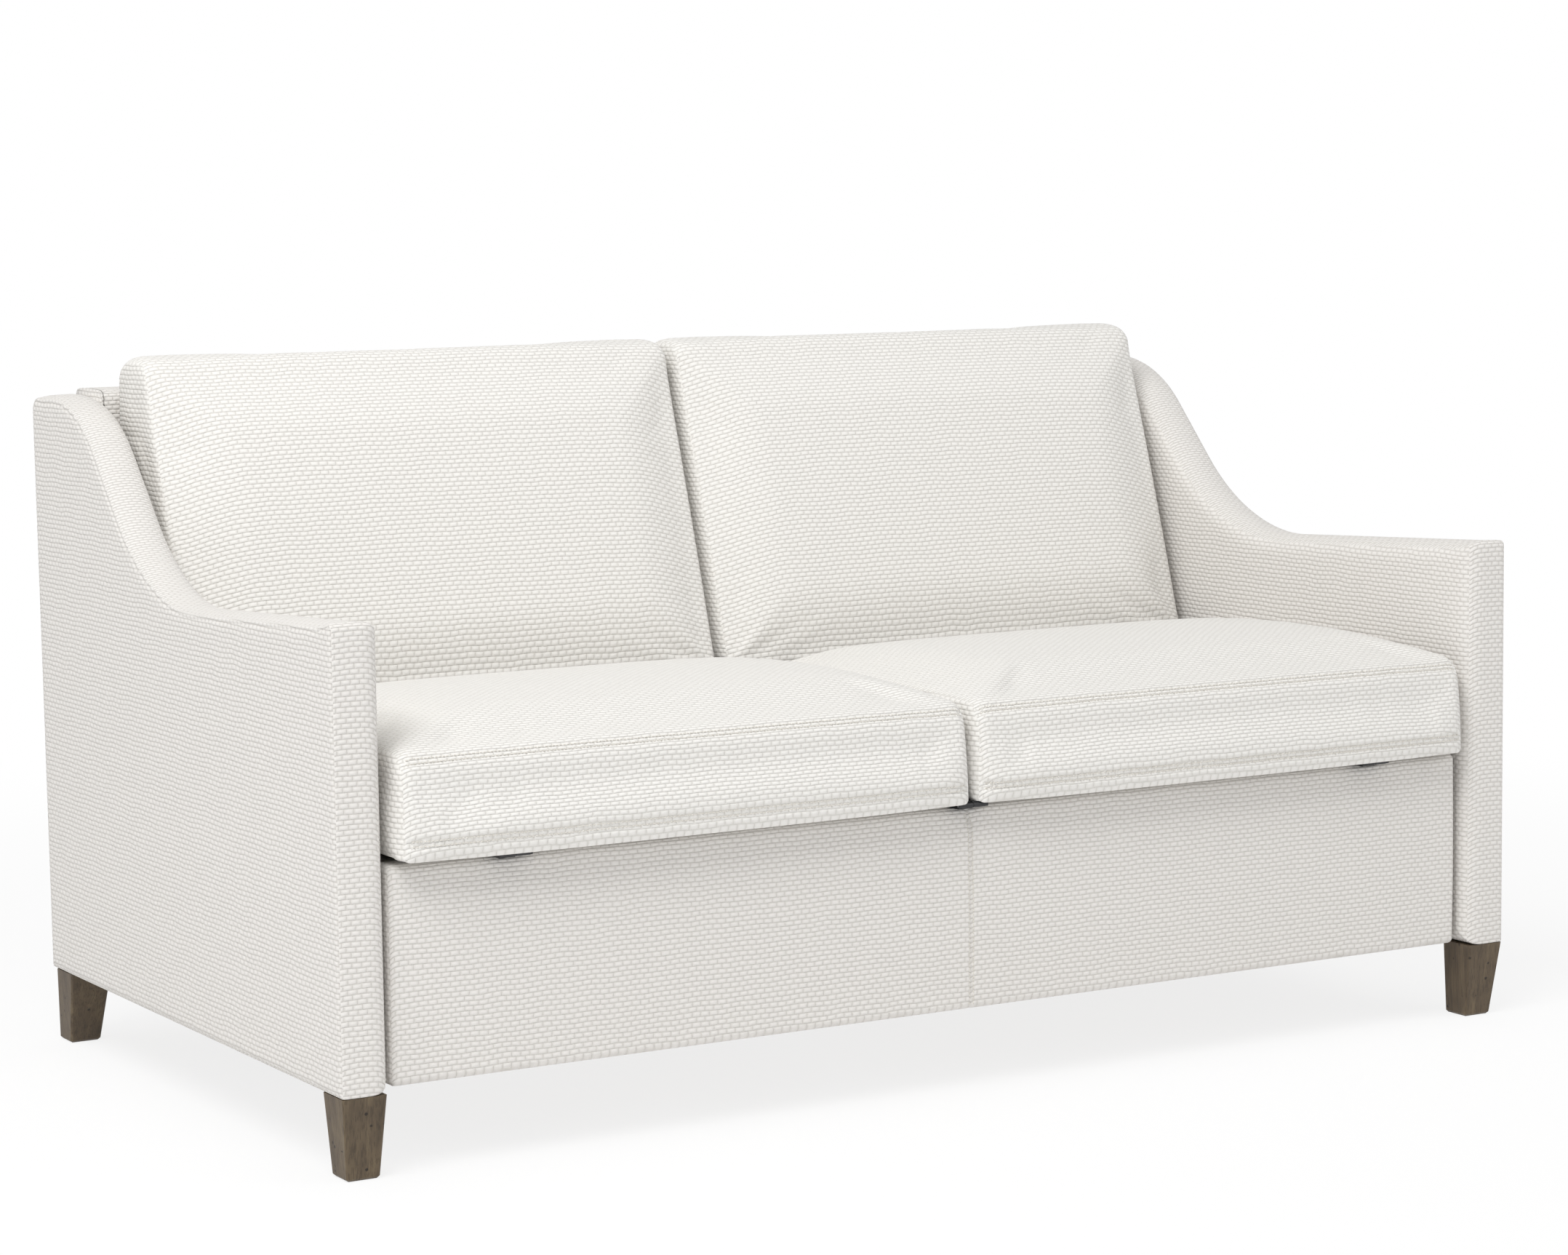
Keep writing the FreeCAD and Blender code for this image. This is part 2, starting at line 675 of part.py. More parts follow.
def foot_leg_pivots():
    """Bolts that carry the seat section's folding legs, with flat heads outside them."""
    head_r, head_thick = FOOT_BOLT_HEAD
    outside = FOOT_LEG_X[1] + FOOT_BOLT_SEAT
    shank = rod_x(FOOT_BOLT_R, SEAT_WALL_X - SEAT_BAR, outside, FOOT_LEG_Y, FOOT_LEG_Z)
    head = rod_x(head_r, outside, outside + head_thick, FOOT_LEG_Y, FOOT_LEG_Z)
    return both(fused([shank, head]))


def strap(x0, x1, y0, y1, z, wide, eye, bore):
    """A flat leg along Y with a round eye at y0 or y1, bored for its pivot."""
    half = wide / 2.0
    bar = box(x0, x1, min(y0, y1), max(y0, y1), z - half, z + half)
    ring = rod_x(half, x0, x1, eye, z)
    tip = rod_x(half, x0, x1, y0 + y1 - eye, z)
    whole = fused([bar, ring, tip])
    return whole.cut(rod_x(bore, x0 - BORE_PAST, x1 + BORE_PAST, eye, z))


def foot_leg(side):
    """Leg of the seat section, as long as its pivot stands above the floor when turned over."""
    pivot_height = 2 * FLIP_Z - FOOT_LEG_Z
    half = FOOT_LEG_WIDE / 2.0
    tip = FOOT_LEG_Y - pivot_height + FLOOR_GAP + half
    bore = FOOT_BOLT_R + PIVOT_RUN
    leg = strap(*FOOT_LEG_X, tip, FOOT_LEG_Y, FOOT_LEG_Z, FOOT_LEG_WIDE, FOOT_LEG_Y, bore)
    return mirrored(leg, side)


def bed_leg(side):
    """Leg under the front of the carriage, folded back along it at rest."""
    half = BED_LEG_WIDE / 2.0
    tip = BED_LEG_Y + BED_LEG_Z - FLOOR_GAP - half
    x = (BED_LEG_X - BED_LEG_THICK / 2.0, BED_LEG_X + BED_LEG_THICK / 2.0)
    leg = strap(*x, BED_LEG_Y, tip, BED_LEG_Z, BED_LEG_WIDE, BED_LEG_Y, PIVOT_R + PIVOT_RUN)
    return mirrored(leg, side)


def bed_leg_brackets():
    """Pairs of ears under the front tube, one pair for each leg."""
    top = SIDE_RAIL_Z[1] - CROSS_TUBE[1]
    reach = BED_LEG_THICK / 2.0 + BED_LEG_PLAY
    y0, y1 = BED_LEG_Y + BED_EAR_Y[0], BED_LEG_Y + BED_EAR_Y[1]
    ears = []
    for x in (BED_LEG_X - reach - PLATE, BED_LEG_X + reach):
        plate = box(x, x + PLATE, y0, y1, BED_LEG_Z - BED_EAR_DROP, top)
        bore = rod_x(PIVOT_R, x - BORE_PAST, x + PLATE + BORE_PAST, BED_LEG_Y, BED_LEG_Z)
        ears.append(plate.cut(bore))
    return both(Part.makeCompound(ears))


def bed_leg_pins():
    reach = BED_LEG_THICK / 2.0 + BED_LEG_PLAY + PLATE + BORE_PAST
    return both(rod_x(PIVOT_R, BED_LEG_X - reach, BED_LEG_X + reach, BED_LEG_Y, BED_LEG_Z))


def head_ears():
    """Plates on the side rails that carry the head section's pins."""
    x0, x1 = HEAD_EAR_X
    low = SIDE_RAIL_Z[0] + PLATE
    high = BED_TOP
    plate = box(x0, x1, HEAD_Y - HEAD_EAR_LONG, HEAD_Y, low, high)
    plate = plate.cut(box(x0, x1, CARRIAGE_Y[1], HEAD_Y, low, high - HEAD_EAR_NECK))
    eye = rod_x(HEAD_EYE_R, x0, x1, HEAD_Y, BED_TOP)
    bore = rod_x(HEAD_PIN_R, x0 - BORE_PAST, x1 + BORE_PAST, HEAD_Y, BED_TOP)
    return both(fused([plate, eye]).cut(bore))


def head_pins():
    cap_r, cap_thick = HEAD_CAP
    outside = HEAD_BAR_X[1] + FOOT_BOLT_SEAT
    pin = rod_x(HEAD_PIN_R, HEAD_EAR_X[0] - BORE_PAST, outside, HEAD_Y, BED_TOP)
    cap = rod_x(cap_r, outside, outside + cap_thick, HEAD_Y, BED_TOP)
    return both(fused([pin, cap]))


def head_bar(side):
    """Cranked side bar of the head section, from its hinge eye to the deck's edge."""
    x0, x1 = HEAD_BAR_X
    front = HEAD_Y + HEAD_PAD
    back = front + HEAD_DECK
    high = BED_TOP + HEAD_LONG - CRANK_SHORT
    corners = [
        (front, BED_TOP + CRANK_HIGH, 0.0),
        (front, high, 0.0),
        (back, high, 0.0),
        (back, BED_TOP + CRANK_LOW, CRANK_ROUND),
        (HEAD_Y + CRANK_HEEL[0], BED_TOP + CRANK_HEEL[1], 0.0),
        (HEAD_Y + CRANK_NECK[0], BED_TOP + CRANK_NECK[1], 0.0),
    ]
    blade = across(corners, x0, x1)
    eye = rod_x(HEAD_EYE_R, x0, x1, HEAD_Y, BED_TOP)
    bar = fused([blade, eye])
    bore = rod_x(HEAD_PIN_R + PIVOT_RUN, x0 - BORE_PAST, x1 + BORE_PAST, HEAD_Y, BED_TOP)
    return mirrored(bar.cut(bore), side)


def head_mattress():
    x = MATTRESS_HALF - 3.0
    return box(-x, x, HEAD_Y, HEAD_Y + HEAD_PAD, *HEAD_PAD_Z)


def head_deck():
    x = HEAD_BAR_X[0]
    y = HEAD_Y + HEAD_PAD
    return box(-x, x, y, y + HEAD_DECK, HEAD_DECK_FOOT, BED_TOP + HEAD_LONG)


def seat_rests():
    """Posts on the side rails, with a foot under each rubber pad."""
    x0, x1 = HEAD_EAR_X
    top = SEAT_Z[0] - REST_PAD
    post = box(x0, x1, *REST_Y, SIDE_RAIL_Z[0] + PLATE, top)
    foot = box(REST_IN_X, x1, *REST_Y, top - REST_FOOT, top)
    return both(fused([post, foot]))


def rest_pads():
    return both(box(REST_IN_X, HEAD_EAR_X[1], *REST_Y, SEAT_Z[0] - REST_PAD, SEAT_Z[0]))


def back_profile(x, full, gap):
    """Side profile of a back cushion. The rear is scooped clear of the head section."""
    back = rounded_back(gap, CUSHION_END[0])
    drop = rounded_back(gap, CUSHION_END[1])
    foot = V(x, LEAN_FOOT[0] + back, LEAN_FOOT[1])
    head = V(x, LEAN_HEAD[0] + back, LEAN_HEAD[1] - drop)
    run = head - foot
    out = V(0, -run.z, run.y)
    out.normalize()
    belly = (foot + head) * 0.5 + out * between(LEAN_CROWN, full)
    top = V(x, CUSHION_TOP[0], CUSHION_TOP[1] - drop)
    arch = (head + top) * 0.5 + V(0, 0, between(CUSHION_ARCH, full))
    ledge = V(x, CUSHION_TOP[0], CUSHION_LEDGE_Z)
    waist = V(x, *CUSHION_WAIST)
    hip = V(x, *CUSHION_HIP)
    scoop = V(x, *CUSHION_SCOOP)
    seat = V(x, *CUSHION_SEAT)
    return Part.Wire([
        Part.Arc(foot, belly, head).toShape(),
        Part.Arc(head, arch, top).toShape(),
        Part.makeLine(top, ledge),
        Part.makeLine(ledge, waist),
        Part.makeLine(waist, hip),
        Part.Arc(hip, scoop, seat).toShape(),
        Part.makeLine(seat, foot),
    ])


def back_cushion(side):
    whole = lofted(back_profile, BACK_CUSHION_GAP, BACK_CUSHION_HALF, BACK_GAPS)
    return mirrored(whole, side)


def save(name, shape):
    shape = shape.copy()
    shape.translate(V(0, -CENTRE_Y, 0))
    limits = shape.BoundBox
    if not shape.isValid():
        print("not valid:", name)
    print("%-22s %7.1f %7.1f %7.1f %7.1f %7.1f %7.1f" % (
        name, limits.XMin, limits.XMax, limits.YMin, limits.YMax, limits.ZMin, limits.ZMax))
    shape.exportStep("parts/" + name + ".step")


def main():
    os.makedirs("parts", exist_ok=True)
    for name, side in SIDES.items():
        board = arm_board(side)
        save("arm_board_" + name, drilled(board, side))
        save("arm_cover_" + name, drilled(arm_cover(side).cut(board), side))
        save("leg_front_" + name, wood_leg(side, LEG_FRONT_Y))
        save("leg_rear_" + name, wood_leg(side, LEG_REAR_Y))
        save("slide_outer_" + name, slide_outer(side))
        save("slide_middle_" + name, slide_middle(side))
        save("slide_inner_" + name, slide_inner(side))
        save("side_rail_" + name, side_rail(side))
        save("seat_cushion_" + name, seat_cushion(side))
        save("seat_side_bar_" + name, seat_side_bar(side))
        save("foot_leg_" + name, foot_leg(side))
        save("bed_leg_" + name, bed_leg(side))
        save("head_bar_" + name, head_bar(side))
        save("back_cushion_" + name, back_cushion(side))
    save("leg_bolts", leg_bolts())
    save("back_cover", back_cover())
    save("back_top_cover", back_top_cover())
    save("back_board", back_board())
    save("back_top_rail", back_top_rail())
    save("back_low_rail", back_low_rail())
    save("base_stretcher", tube_x(-ARM_INNER, ARM_INNER, STRETCHER_Y, STRETCHER_Z))
    save("cushion_rail", cushion_rail())
    save("frame_brackets", frame_brackets())
    save("front_panel_board", front_panel_board())
    save("front_panel_cover", front_panel_cover())
    save("panel_brackets", panel_brackets())
    save("front_cross_tube", cross_tube(CARRIAGE_Y[0] + 2.0))
    save("rear_cross_tube", cross_tube(CARRIAGE_Y[1] - CROSS_TUBE[0]))
    save("centre_mattress", centre_mattress())
    save("centre_deck", centre_deck())
    save("flip_hinge_leaves_low", flip_leaves("panel"))
    save("flip_hinge_leaves_high", flip_leaves("seat"))
    save("flip_hinge_pins", flip_pins())
    save("bed_leg_brackets", bed_leg_brackets())
    save("bed_leg_pins", bed_leg_pins())
    save("head_ears", head_ears())
    save("head_pins", head_pins())
    save("seat_rests", seat_rests())
    save("seat_rest_pads", rest_pads())
    save("seat_deck", seat_deck())
    save("seat_front_bar", seat_front_bar())
    save("foot_mattress", foot_mattress())
    save("foot_leg_pivots", foot_leg_pivots())
    save("head_mattress", head_mattress())
    save("head_deck", head_deck())


main()
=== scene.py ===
import json
import math

import bmesh
import bpy
import numpy as np
from mathutils import Matrix, Vector
from mathutils.bvhtree import BVHTree


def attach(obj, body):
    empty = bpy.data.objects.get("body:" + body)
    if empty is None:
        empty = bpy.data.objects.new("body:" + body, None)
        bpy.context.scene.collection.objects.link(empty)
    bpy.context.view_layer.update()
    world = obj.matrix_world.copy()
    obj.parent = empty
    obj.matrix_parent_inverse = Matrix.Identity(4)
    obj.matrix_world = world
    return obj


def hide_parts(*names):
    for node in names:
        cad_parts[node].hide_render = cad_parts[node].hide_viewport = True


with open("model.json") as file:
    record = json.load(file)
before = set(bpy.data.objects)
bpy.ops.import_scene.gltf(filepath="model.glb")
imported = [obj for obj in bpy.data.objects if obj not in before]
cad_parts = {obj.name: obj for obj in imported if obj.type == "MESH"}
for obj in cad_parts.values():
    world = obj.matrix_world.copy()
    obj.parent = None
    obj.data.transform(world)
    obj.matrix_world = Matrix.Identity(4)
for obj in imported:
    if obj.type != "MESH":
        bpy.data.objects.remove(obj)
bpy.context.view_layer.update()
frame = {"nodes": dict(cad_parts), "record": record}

# Sizes are in millimetres, as the sofa is measured: X across, Y back from the front plane of
# the arms, Z up from the floor. place() turns them into the frame's metres.
CENTRE_Y = 460.0
LEFT = -1
RIGHT = 1
SIDES = {"left": LEFT, "right": RIGHT}

# Arms. A corner is (Y, Z, radius)
HALF_WIDTH = 840.0
ARM_INNER = 779.0
ARM_CORNERS = (
    (0.0, 98.0, 3.0),
    (0.0, 635.0, 8.0),
    (545.0, 609.0, 318.0),
    (785.0, 860.0, 205.0),
    (940.0, 850.0, 22.0),
    (932.0, 98.0, 3.0),
)

# Fixed back. It leans from BACK_FOOT_Y at its foot to BACK_HEAD_Y at its top
BACK_TOP = 858.0
BACK_FOOT = 98.0
BACK_FOOT_Y = 930.5
BACK_HEAD_Y = 938.5
BACK_SEAM = 26.0      # from its top down to the seam of the top rail's cloth
BACK_COVER = 5.0
BACK_TURN_IN = 15.0   # cloth turned in at its sides
BACK_TURN_OUT = 0.4   # by which it presses into the arms' cloth
BACK_SLACK = 1.2

# Front panel. Its seam leans SEAM_LEAN sideways over SEAM_LEAN_Z (start, length)
PANEL_HALF = 771.0
PANEL_Y = (14.0, 54.0)
PANEL_Z = (101.0, 354.0)
PANEL_ROUND = 9.0
PANEL_PUFF = 1.5
SEAM_X = 9.0
SEAM_LEAN = 5.0
SEAM_LEAN_Z = (318.0, 36.0)
SEAM_GROOVE = (2.6, 2.4)   # width and depth
GRID_EDGE = 12.0

# Seat cushions
SEAT_HALF = 768.0
SEAT_SPLIT = 1.5      # from the middle to each cushion
SEAT_Z = 362.0
SEAT_LIP = 356.0      # lowest cloth, in front of the hinges
SEAT_LIP_BACK = -8.5  # the Y where that lip ends
SEAT_FRONT = -13.0
SEAT_REAR = 588.0
SEAT_WALL_X = 734.0
SEAT_WALL_Y = (26.0, 556.0)
SEAT_DECK_TOP = 431.0
SEAT_SLACK_X = (3.0, 766.0)

# Back cushions
REST_FOOT = (602.0, 458.0)
REST_HEAD = (739.0, 896.0)
REST_REAR = 838.0
REST_SCOOP = 781.0    # the Y of the scooped rear, clear of the bed's head
REST_SLACK_X = (4.0, 764.0)
SLACK_DRAW = 4.0      # by which a slack cushion is less deep at its sides

# Mattress sections, (low corner, high corner)
CENTRE_MATTRESS = ((-755.0, 56.0, 224.0), (755.0, 785.0, 354.0))
FOOT_MATTRESS = ((-727.0, 30.0, 362.0), (727.0, 556.0, 416.0))
HEAD_MATTRESS = ((-752.0, 787.0, 358.0), (752.0, 851.0, 764.0))


def place(points):
    """Millimetres measured from the sofa's front become metres in the frame."""
    moved = np.asarray(points, float).reshape(-1, 3) - (0.0, CENTRE_Y, 0.0)
    return moved / 1000.0


def linear(code):
    """An sRGB hex colour as linear RGBA."""
    parts = [int(code[i:i + 2], 16) / 255.0 for i in (1, 3, 5)]
    return [c / 12.92 if c <= 0.04045 else ((c + 0.055) / 1.055) ** 2.4 for c in parts] + [1.0]


# Materials

def feed(tree, socket, value):
    if isinstance(value, bpy.types.NodeSocket):
        tree.links.new(value, socket)
    else:
        socket.default_value = value


def add(tree, kind, *values, named=(), stops=(), out=0, **settings):
    """Adds a node with its settings, feeds its sockets in order or by name, and gives one
    output. stops are a colour ramp's (position, hex colour) pairs."""
    node = tree.nodes.new("ShaderNode" + kind)
    for key, value in settings.items():
        setattr(node, key, value)
    for key, value in [*enumerate(values), *dict(named).items()]:
        if value is not None:
            feed(tree, node.inputs[key], value)
    for k, (position, code) in enumerate(stops):
        element = node.color_ramp.elements[k] if k < 2 else node.color_ramp.elements.new(position)
        element.position = position
        element.color = linear(code)
    return node.outputs[out]


def begin(name):
    made = bpy.data.materials.new(name)
    made.use_nodes = True
    return made, made.node_tree


def shade(tree, height, depth, values):
    """Feeds the shader's sockets by name, and bumps it by a real depth in metres."""
    shader = tree.nodes["Principled BSDF"]
    bump = add(tree, "Bump", named={"Height": height, "Distance": depth})
    for key, value in {**values, "Normal": bump}.items():
        feed(tree, shader.inputs[key], value)


TAU = 2.0 * math.pi
BUMP_ACROSS = 0.0116   # m between the raised scallops of the cloth, across
BUMP_DOWN = 0.0060     # m from one row of them to the next
BUMP_HIGH = 0.0012     # m that they stand out
BUMP_SOFT = 0.55       # power that flattens their tops
CLOTH_DRIFT = 0.004    # m that the weave wanders out of true
SMOOTH = {"interpolation_type": "SMOOTHSTEP"}


# pale is the cloth's own colour; hollow is that cloth with painted shade, for the hollows of its
# relief.
def matelasse(name, pale, hollow):
    """Cotton matelasse, double-woven and puffed: rows of low scallops, each row half a step
    along from the last, and a dry matt face. Its yarn is drawn coarser than the real one,
    which would be too fine to show, and reads as a light heather. The hollows between the
    scallops carry painted shade: there the colour runs to the darker hollow colour."""
    made, tree = begin(name)
    cloth = add(tree, "UVMap", uv_map="cloth")
    drift = add(
        tree, "TexNoise", named={"Vector": cloth, "Scale": 24.0, "Detail": 1.0}, out="Color")
    drift = add(tree, "VectorMath", drift, (0.5, 0.5, 0.5), operation="SUBTRACT")
    drift = add(tree, "VectorMath", drift, named={"Scale": CLOTH_DRIFT}, operation="SCALE")
    moved = add(tree, "VectorMath", cloth, drift, operation="ADD")
    across, down = [add(tree, "SeparateXYZ", moved, out=axis) for axis in (0, 1)]
    down = add(tree, "Math", down, math.pi / BUMP_DOWN, operation="MULTIPLY")
    down = add(tree, "Math", down, operation="COSINE")
    shift = add(tree, "Math", down, 0.0, operation="GREATER_THAN")
    shift = add(tree, "Math", shift, math.pi / 2.0, operation="MULTIPLY")
    across = add(tree, "Math", across, math.pi / BUMP_ACROSS, shift, operation="MULTIPLY_ADD")
    across = add(tree, "Math", across, operation="SINE")
    scallop = add(tree, "Math", across, down, operation="MULTIPLY")
    scallop = add(tree, "Math", scallop, operation="ABSOLUTE")
    scallop = add(tree, "Math", scallop, BUMP_SOFT, operation="POWER")
    yarn = {"Vector": cloth, "Scale": 700.0, "Detail": 2.0, "Roughness": 0.7}
    yarn = add(tree, "TexNoise", named=yarn)
    height = add(tree, "Math", yarn, 0.25, scallop, operation="MULTIPLY_ADD")
    # Painted shade: the colour darkens towards the hollow stop in the hollows between the scallops,
    # mixed with the yarn's own heather tone.
    fade = add(tree, "Math", yarn, 0.5, operation="MULTIPLY")
    fade = add(tree, "Math", scallop, 0.6, fade, operation="MULTIPLY_ADD")
    colour = add(tree, "ValToRGB", fade, stops=((0.2, hollow), (0.75, pale)))
    shade(tree, height, BUMP_HIGH, {
        "Base Color": colour, "Roughness": 0.93, "Specular IOR Level": 0.25,
        "Sheen Weight": 0.12, "Sheen Roughness": 0.5})
    return made


def sewing_thread(name):
    """Spun polyester thread: a slight twist and a low sheen. Its darker tones are partly painted
    shade, that of the drawn-in seams the stitches lie in.
    """
    made, tree = begin(name)
    spot = add(tree, "TexCoord", out="Object")
    twist = add(tree, "TexNoise", named={"Vector": spot, "Scale": 900.0, "Detail": 1.0})
    # Partly painted shade: the ramp's dark end sits below the cloth's colour so the stitch rows
    # read as a seam's shaded groove; the noise between the stops is the twist's own tone.
    colour = add(tree, "ValToRGB", twist, stops=((0.3, "#D2CDC2"), (0.7, "#F0EDE6")))
    shade(tree, twist, 0.0002, {"Base Color": colour, "Roughness": 0.7})
    return made


STRIPE = 0.022  # m, one satin and one plain stripe of the ticking


def ticking(name):
    """Woven damask mattress ticking: warm white, with a faint satin stripe in the weave."""
    made, tree = begin(name)
    cloth = add(tree, "UVMap", uv_map="cloth")
    across = add(tree, "SeparateXYZ", cloth)
    across = add(tree, "Math", across, TAU / STRIPE, operation="MULTIPLY")
    wave = add(tree, "Math", across, operation="SINE")
    satin = add(tree, "MapRange", wave, -0.2, 0.2, **SMOOTH)
    yarn = add(tree, "TexNoise", named={"Vector": cloth, "Scale": 900.0, "Detail": 2.0})
    tone = add(tree, "Math", yarn, 0.5, operation="MULTIPLY")
    tone = add(tree, "Math", satin, 0.45, tone, operation="MULTIPLY_ADD")
    colour = add(tree, "ValToRGB", tone, stops=((0.2, "#DEDACF"), (0.8, "#EEECE5")))
    gloss = add(tree, "MapRange", satin, 0.0, 1.0, 0.85, 0.66)
    shade(tree, tone, 0.0005, {"Base Color": colour, "Roughness": gloss, "Sheen Weight": 0.15})
    return made


def weathered_oak(name):
    """Oak stained grey-brown and distressed: long grain up the leg, open pores and small
    dark worm holes, under a thin dull lacquer."""
    made, tree = begin(name)
    spot = add(tree, "TexCoord", out="Object")
    long_grain = add(tree, "Mapping", spot, named={"Scale": (1.0, 1.0, 0.06)})
    long_pores = add(tree, "Mapping", spot, named={"Scale": (1.0, 1.0, 0.03)})
    grain = {"Vector": long_grain, "Scale": 95.0, "Detail": 5.0, "Roughness": 0.62}
    grain = add(tree, "TexNoise", named=grain)
    pores = add(tree, "TexNoise", named={"Vector": long_pores, "Scale": 520.0, "Detail": 3.0})
    cloud = add(tree, "TexNoise", named={"Vector": spot, "Scale": 22.0})
    tone = add(tree, "Math", cloud, 0.4, operation="MULTIPLY")
    tone = add(tree, "Math", grain, 0.6, tone, operation="MULTIPLY_ADD")
    stops = ((0.3, "#43382B"), (0.72, "#776850"), (0.5, "#5E503E"))
    wood = add(tree, "ValToRGB", tone, stops=stops)
    pore = add(tree, "MapRange", pores, 0.38, 0.5, 0.65, 1.0, **SMOOTH)
    hole = add(tree, "TexVoronoi", named={"Vector": spot, "Scale": 75.0}, out="Distance")
    hole = add(tree, "MapRange", hole, 0.10, 0.2, **SMOOTH)
    rare = add(tree, "TexNoise", named={"Vector": spot, "Scale": 60.0, "Detail": 0.0})
    rare = add(tree, "MapRange", rare, 0.53, 0.56, 1.0, 0.0, **SMOOTH)
    hole = add(tree, "Math", hole, rare, operation="MAXIMUM")
    whole = add(tree, "Math", pore, hole, operation="MULTIPLY")
    colour = add(tree, "Mix", whole, named={6: linear("#2B2219"), 7: wood}, data_type="RGBA", out=2)
    shade(tree, whole, 0.0005, {"Base Color": colour, "Roughness": 0.52, "Specular IOR Level": 0.4})
    return made


def planed_pine(name):
    """Planed pine: straight grain along the board, matt and unfinished."""
    made, tree = begin(name)
    spot = add(tree, "TexCoord", out="Object")
    along = add(tree, "Mapping", spot, named={"Scale": (0.04, 1.0, 1.0)})
    grain = {"Vector": along, "Scale": 70.0, "Detail": 4.0, "Roughness": 0.6}
    grain = add(tree, "TexNoise", named=grain)
    colour = add(tree, "ValToRGB", grain, stops=((0.32, "#B08D59"), (0.68, "#D8BC8A")))
    shade(tree, grain, 0.0004, {"Base Color": colour, "Roughness": 0.75})
    return made


PLY = 0.0016  # m, one ply of the deck boards


def birch_plywood(name):
    """Birch plywood: calm pale faces, and thin light and dark plies along its cut edges."""
    made, tree = begin(name)
    spot = add(tree, "TexCoord", out="Object")
    along = add(tree, "Mapping", spot, named={"Scale": (0.06, 1.0, 1.0)})
    grain = {"Vector": along, "Scale": 60.0, "Detail": 4.0, "Roughness": 0.6}
    grain = add(tree, "TexNoise", named=grain)
    face = add(tree, "ValToRGB", grain, stops=((0.3, "#B99A6B"), (0.7, "#D6BC8E")))
    height = add(tree, "SeparateXYZ", spot, out=2)
    height = add(tree, "Math", height, TAU / (2.0 * PLY), operation="MULTIPLY")
    wave = add(tree, "Math", height, operation="SINE")
    plies = add(tree, "MapRange", wave, -0.4, 0.4, **SMOOTH)
    edge = add(tree, "ValToRGB", plies, stops=((0.0, "#8F6F45"), (1.0, "#CDB083")))
    upright = add(tree, "NewGeometry", out="Normal")
    upright = add(tree, "SeparateXYZ", upright, out=2)
    upright = add(tree, "Math", upright, operation="ABSOLUTE")
    upright = add(tree, "MapRange", upright, 0.4, 0.6, **SMOOTH)
    colour = add(tree, "Mix", upright, named={6: edge, 7: face}, data_type="RGBA", out=2)
    shade(tree, grain, 0.0003, {"Base Color": colour, "Roughness": 0.62})
    return made


def zinc_plated_steel(name):
    """Cold-rolled steel, zinc plated: cool grey with fine rolling lines and soft reflections."""
    made, tree = begin(name)
    spot = add(tree, "TexCoord", out="Object")
    along = add(tree, "Mapping", spot, named={"Scale": (1.0, 0.05, 1.0)})
    drawn = add(tree, "TexNoise", named={"Vector": along, "Scale": 420.0, "Detail": 3.0})
    cloud = add(tree, "TexNoise", named={"Vector": spot, "Scale": 40.0})
    colour = add(tree, "ValToRGB", cloud, stops=((0.3, "#A9ADB1"), (0.7, "#C6C9CC")))
    gloss = add(tree, "MapRange", drawn, 0.3, 0.7, 0.28, 0.46)
    shade(tree, drawn, 0.0001, {"Base Color": colour, "Roughness": gloss, "Metallic": 1.0})
    return made


def powder_coated_steel(name):
    """Steel under baked powder paint: satin black with a faint orange-peel skin."""
    made, tree = begin(name)
    spot = add(tree, "TexCoord", out="Object")
    peel = add(tree, "TexNoise", named={"Vector": spot, "Scale": 650.0})
    rub = add(tree, "TexNoise", named={"Vector": spot, "Scale": 30.0, "Detail": 3.0})
    colour = add(tree, "ValToRGB", rub, stops=((0.35, "#17181A"), (0.7, "#232427")))
    shade(tree, peel, 0.00015, {"Base Color": colour, "Roughness": 0.45})
    return made


def black_rubber(name):
    """Moulded rubber: dull black with a powdery bloom."""
    made, tree = begin(name)
    spot = add(tree, "TexCoord", out="Object")
    bloom = add(tree, "TexNoise", named={"Vector": spot, "Scale": 160.0, "Detail": 3.0})
    colour = add(tree, "ValToRGB", bloom, stops=((0.3, "#18181A"), (0.75, "#2B2B2D")))
    shade(tree, bloom, 0.0002, {"Base Color": colour, "Roughness": 0.82})
    return made


# The second colour of each cloth is painted shade, laid in the hollows between its scallops.
BODY_CLOTH = matelasse("body_matelasse_cotton", "#ECE9E5", "#DAD6D0")
CUSHION_CLOTH = matelasse("cushion_matelasse_cotton", "#F1EFEB", "#E0DDD7")
THREAD = sewing_thread("polyester_thread")
TICKING = ticking("mattress_damask_ticking")
CAD_FINISHES = {
    "leg_wood": weathered_oak("weathered_oak"),
    "frame_timber": planed_pine("planed_pine"),
    "plywood": birch_plywood("birch_plywood"),
    "zinc_steel": zinc_plated_steel("zinc_plated_steel"),
    "painted_steel": powder_coated_steel("powder_coated_steel"),
    "rubber": black_rubber("black_rubber"),
}


# Making and placing meshes

def mesh_object(name, points, faces):
    """A smooth-shaded mesh from points in millimetres."""
    mesh = bpy.data.meshes.new(name)
    mesh.from_pydata(place(points).tolist(), [], [list(f) for f in faces])
    mesh.validate()
    return wrap(name, mesh)


def wrap(name, mesh):
    mesh.polygons.foreach_set("use_smooth", [True] * len(mesh.polygons))
    mesh.update()
    made = bpy.data.objects.new(name, mesh)
    bpy.context.scene.collection.objects.link(made)
    return made


def facing_out(obj):
    """Turns every face outwards."""
    work = bmesh.new()
    work.from_mesh(obj.data)
    bmesh.ops.recalc_face_normals(work, faces=work.faces)
    work.to_mesh(obj.data)
    work.free()
    return obj


def vertices_of(obj):
    spots = np.empty(len(obj.data.vertices) * 3, np.float32)
    obj.data.vertices.foreach_get("co", spots)
    return spots.reshape(-1, 3).astype(float)


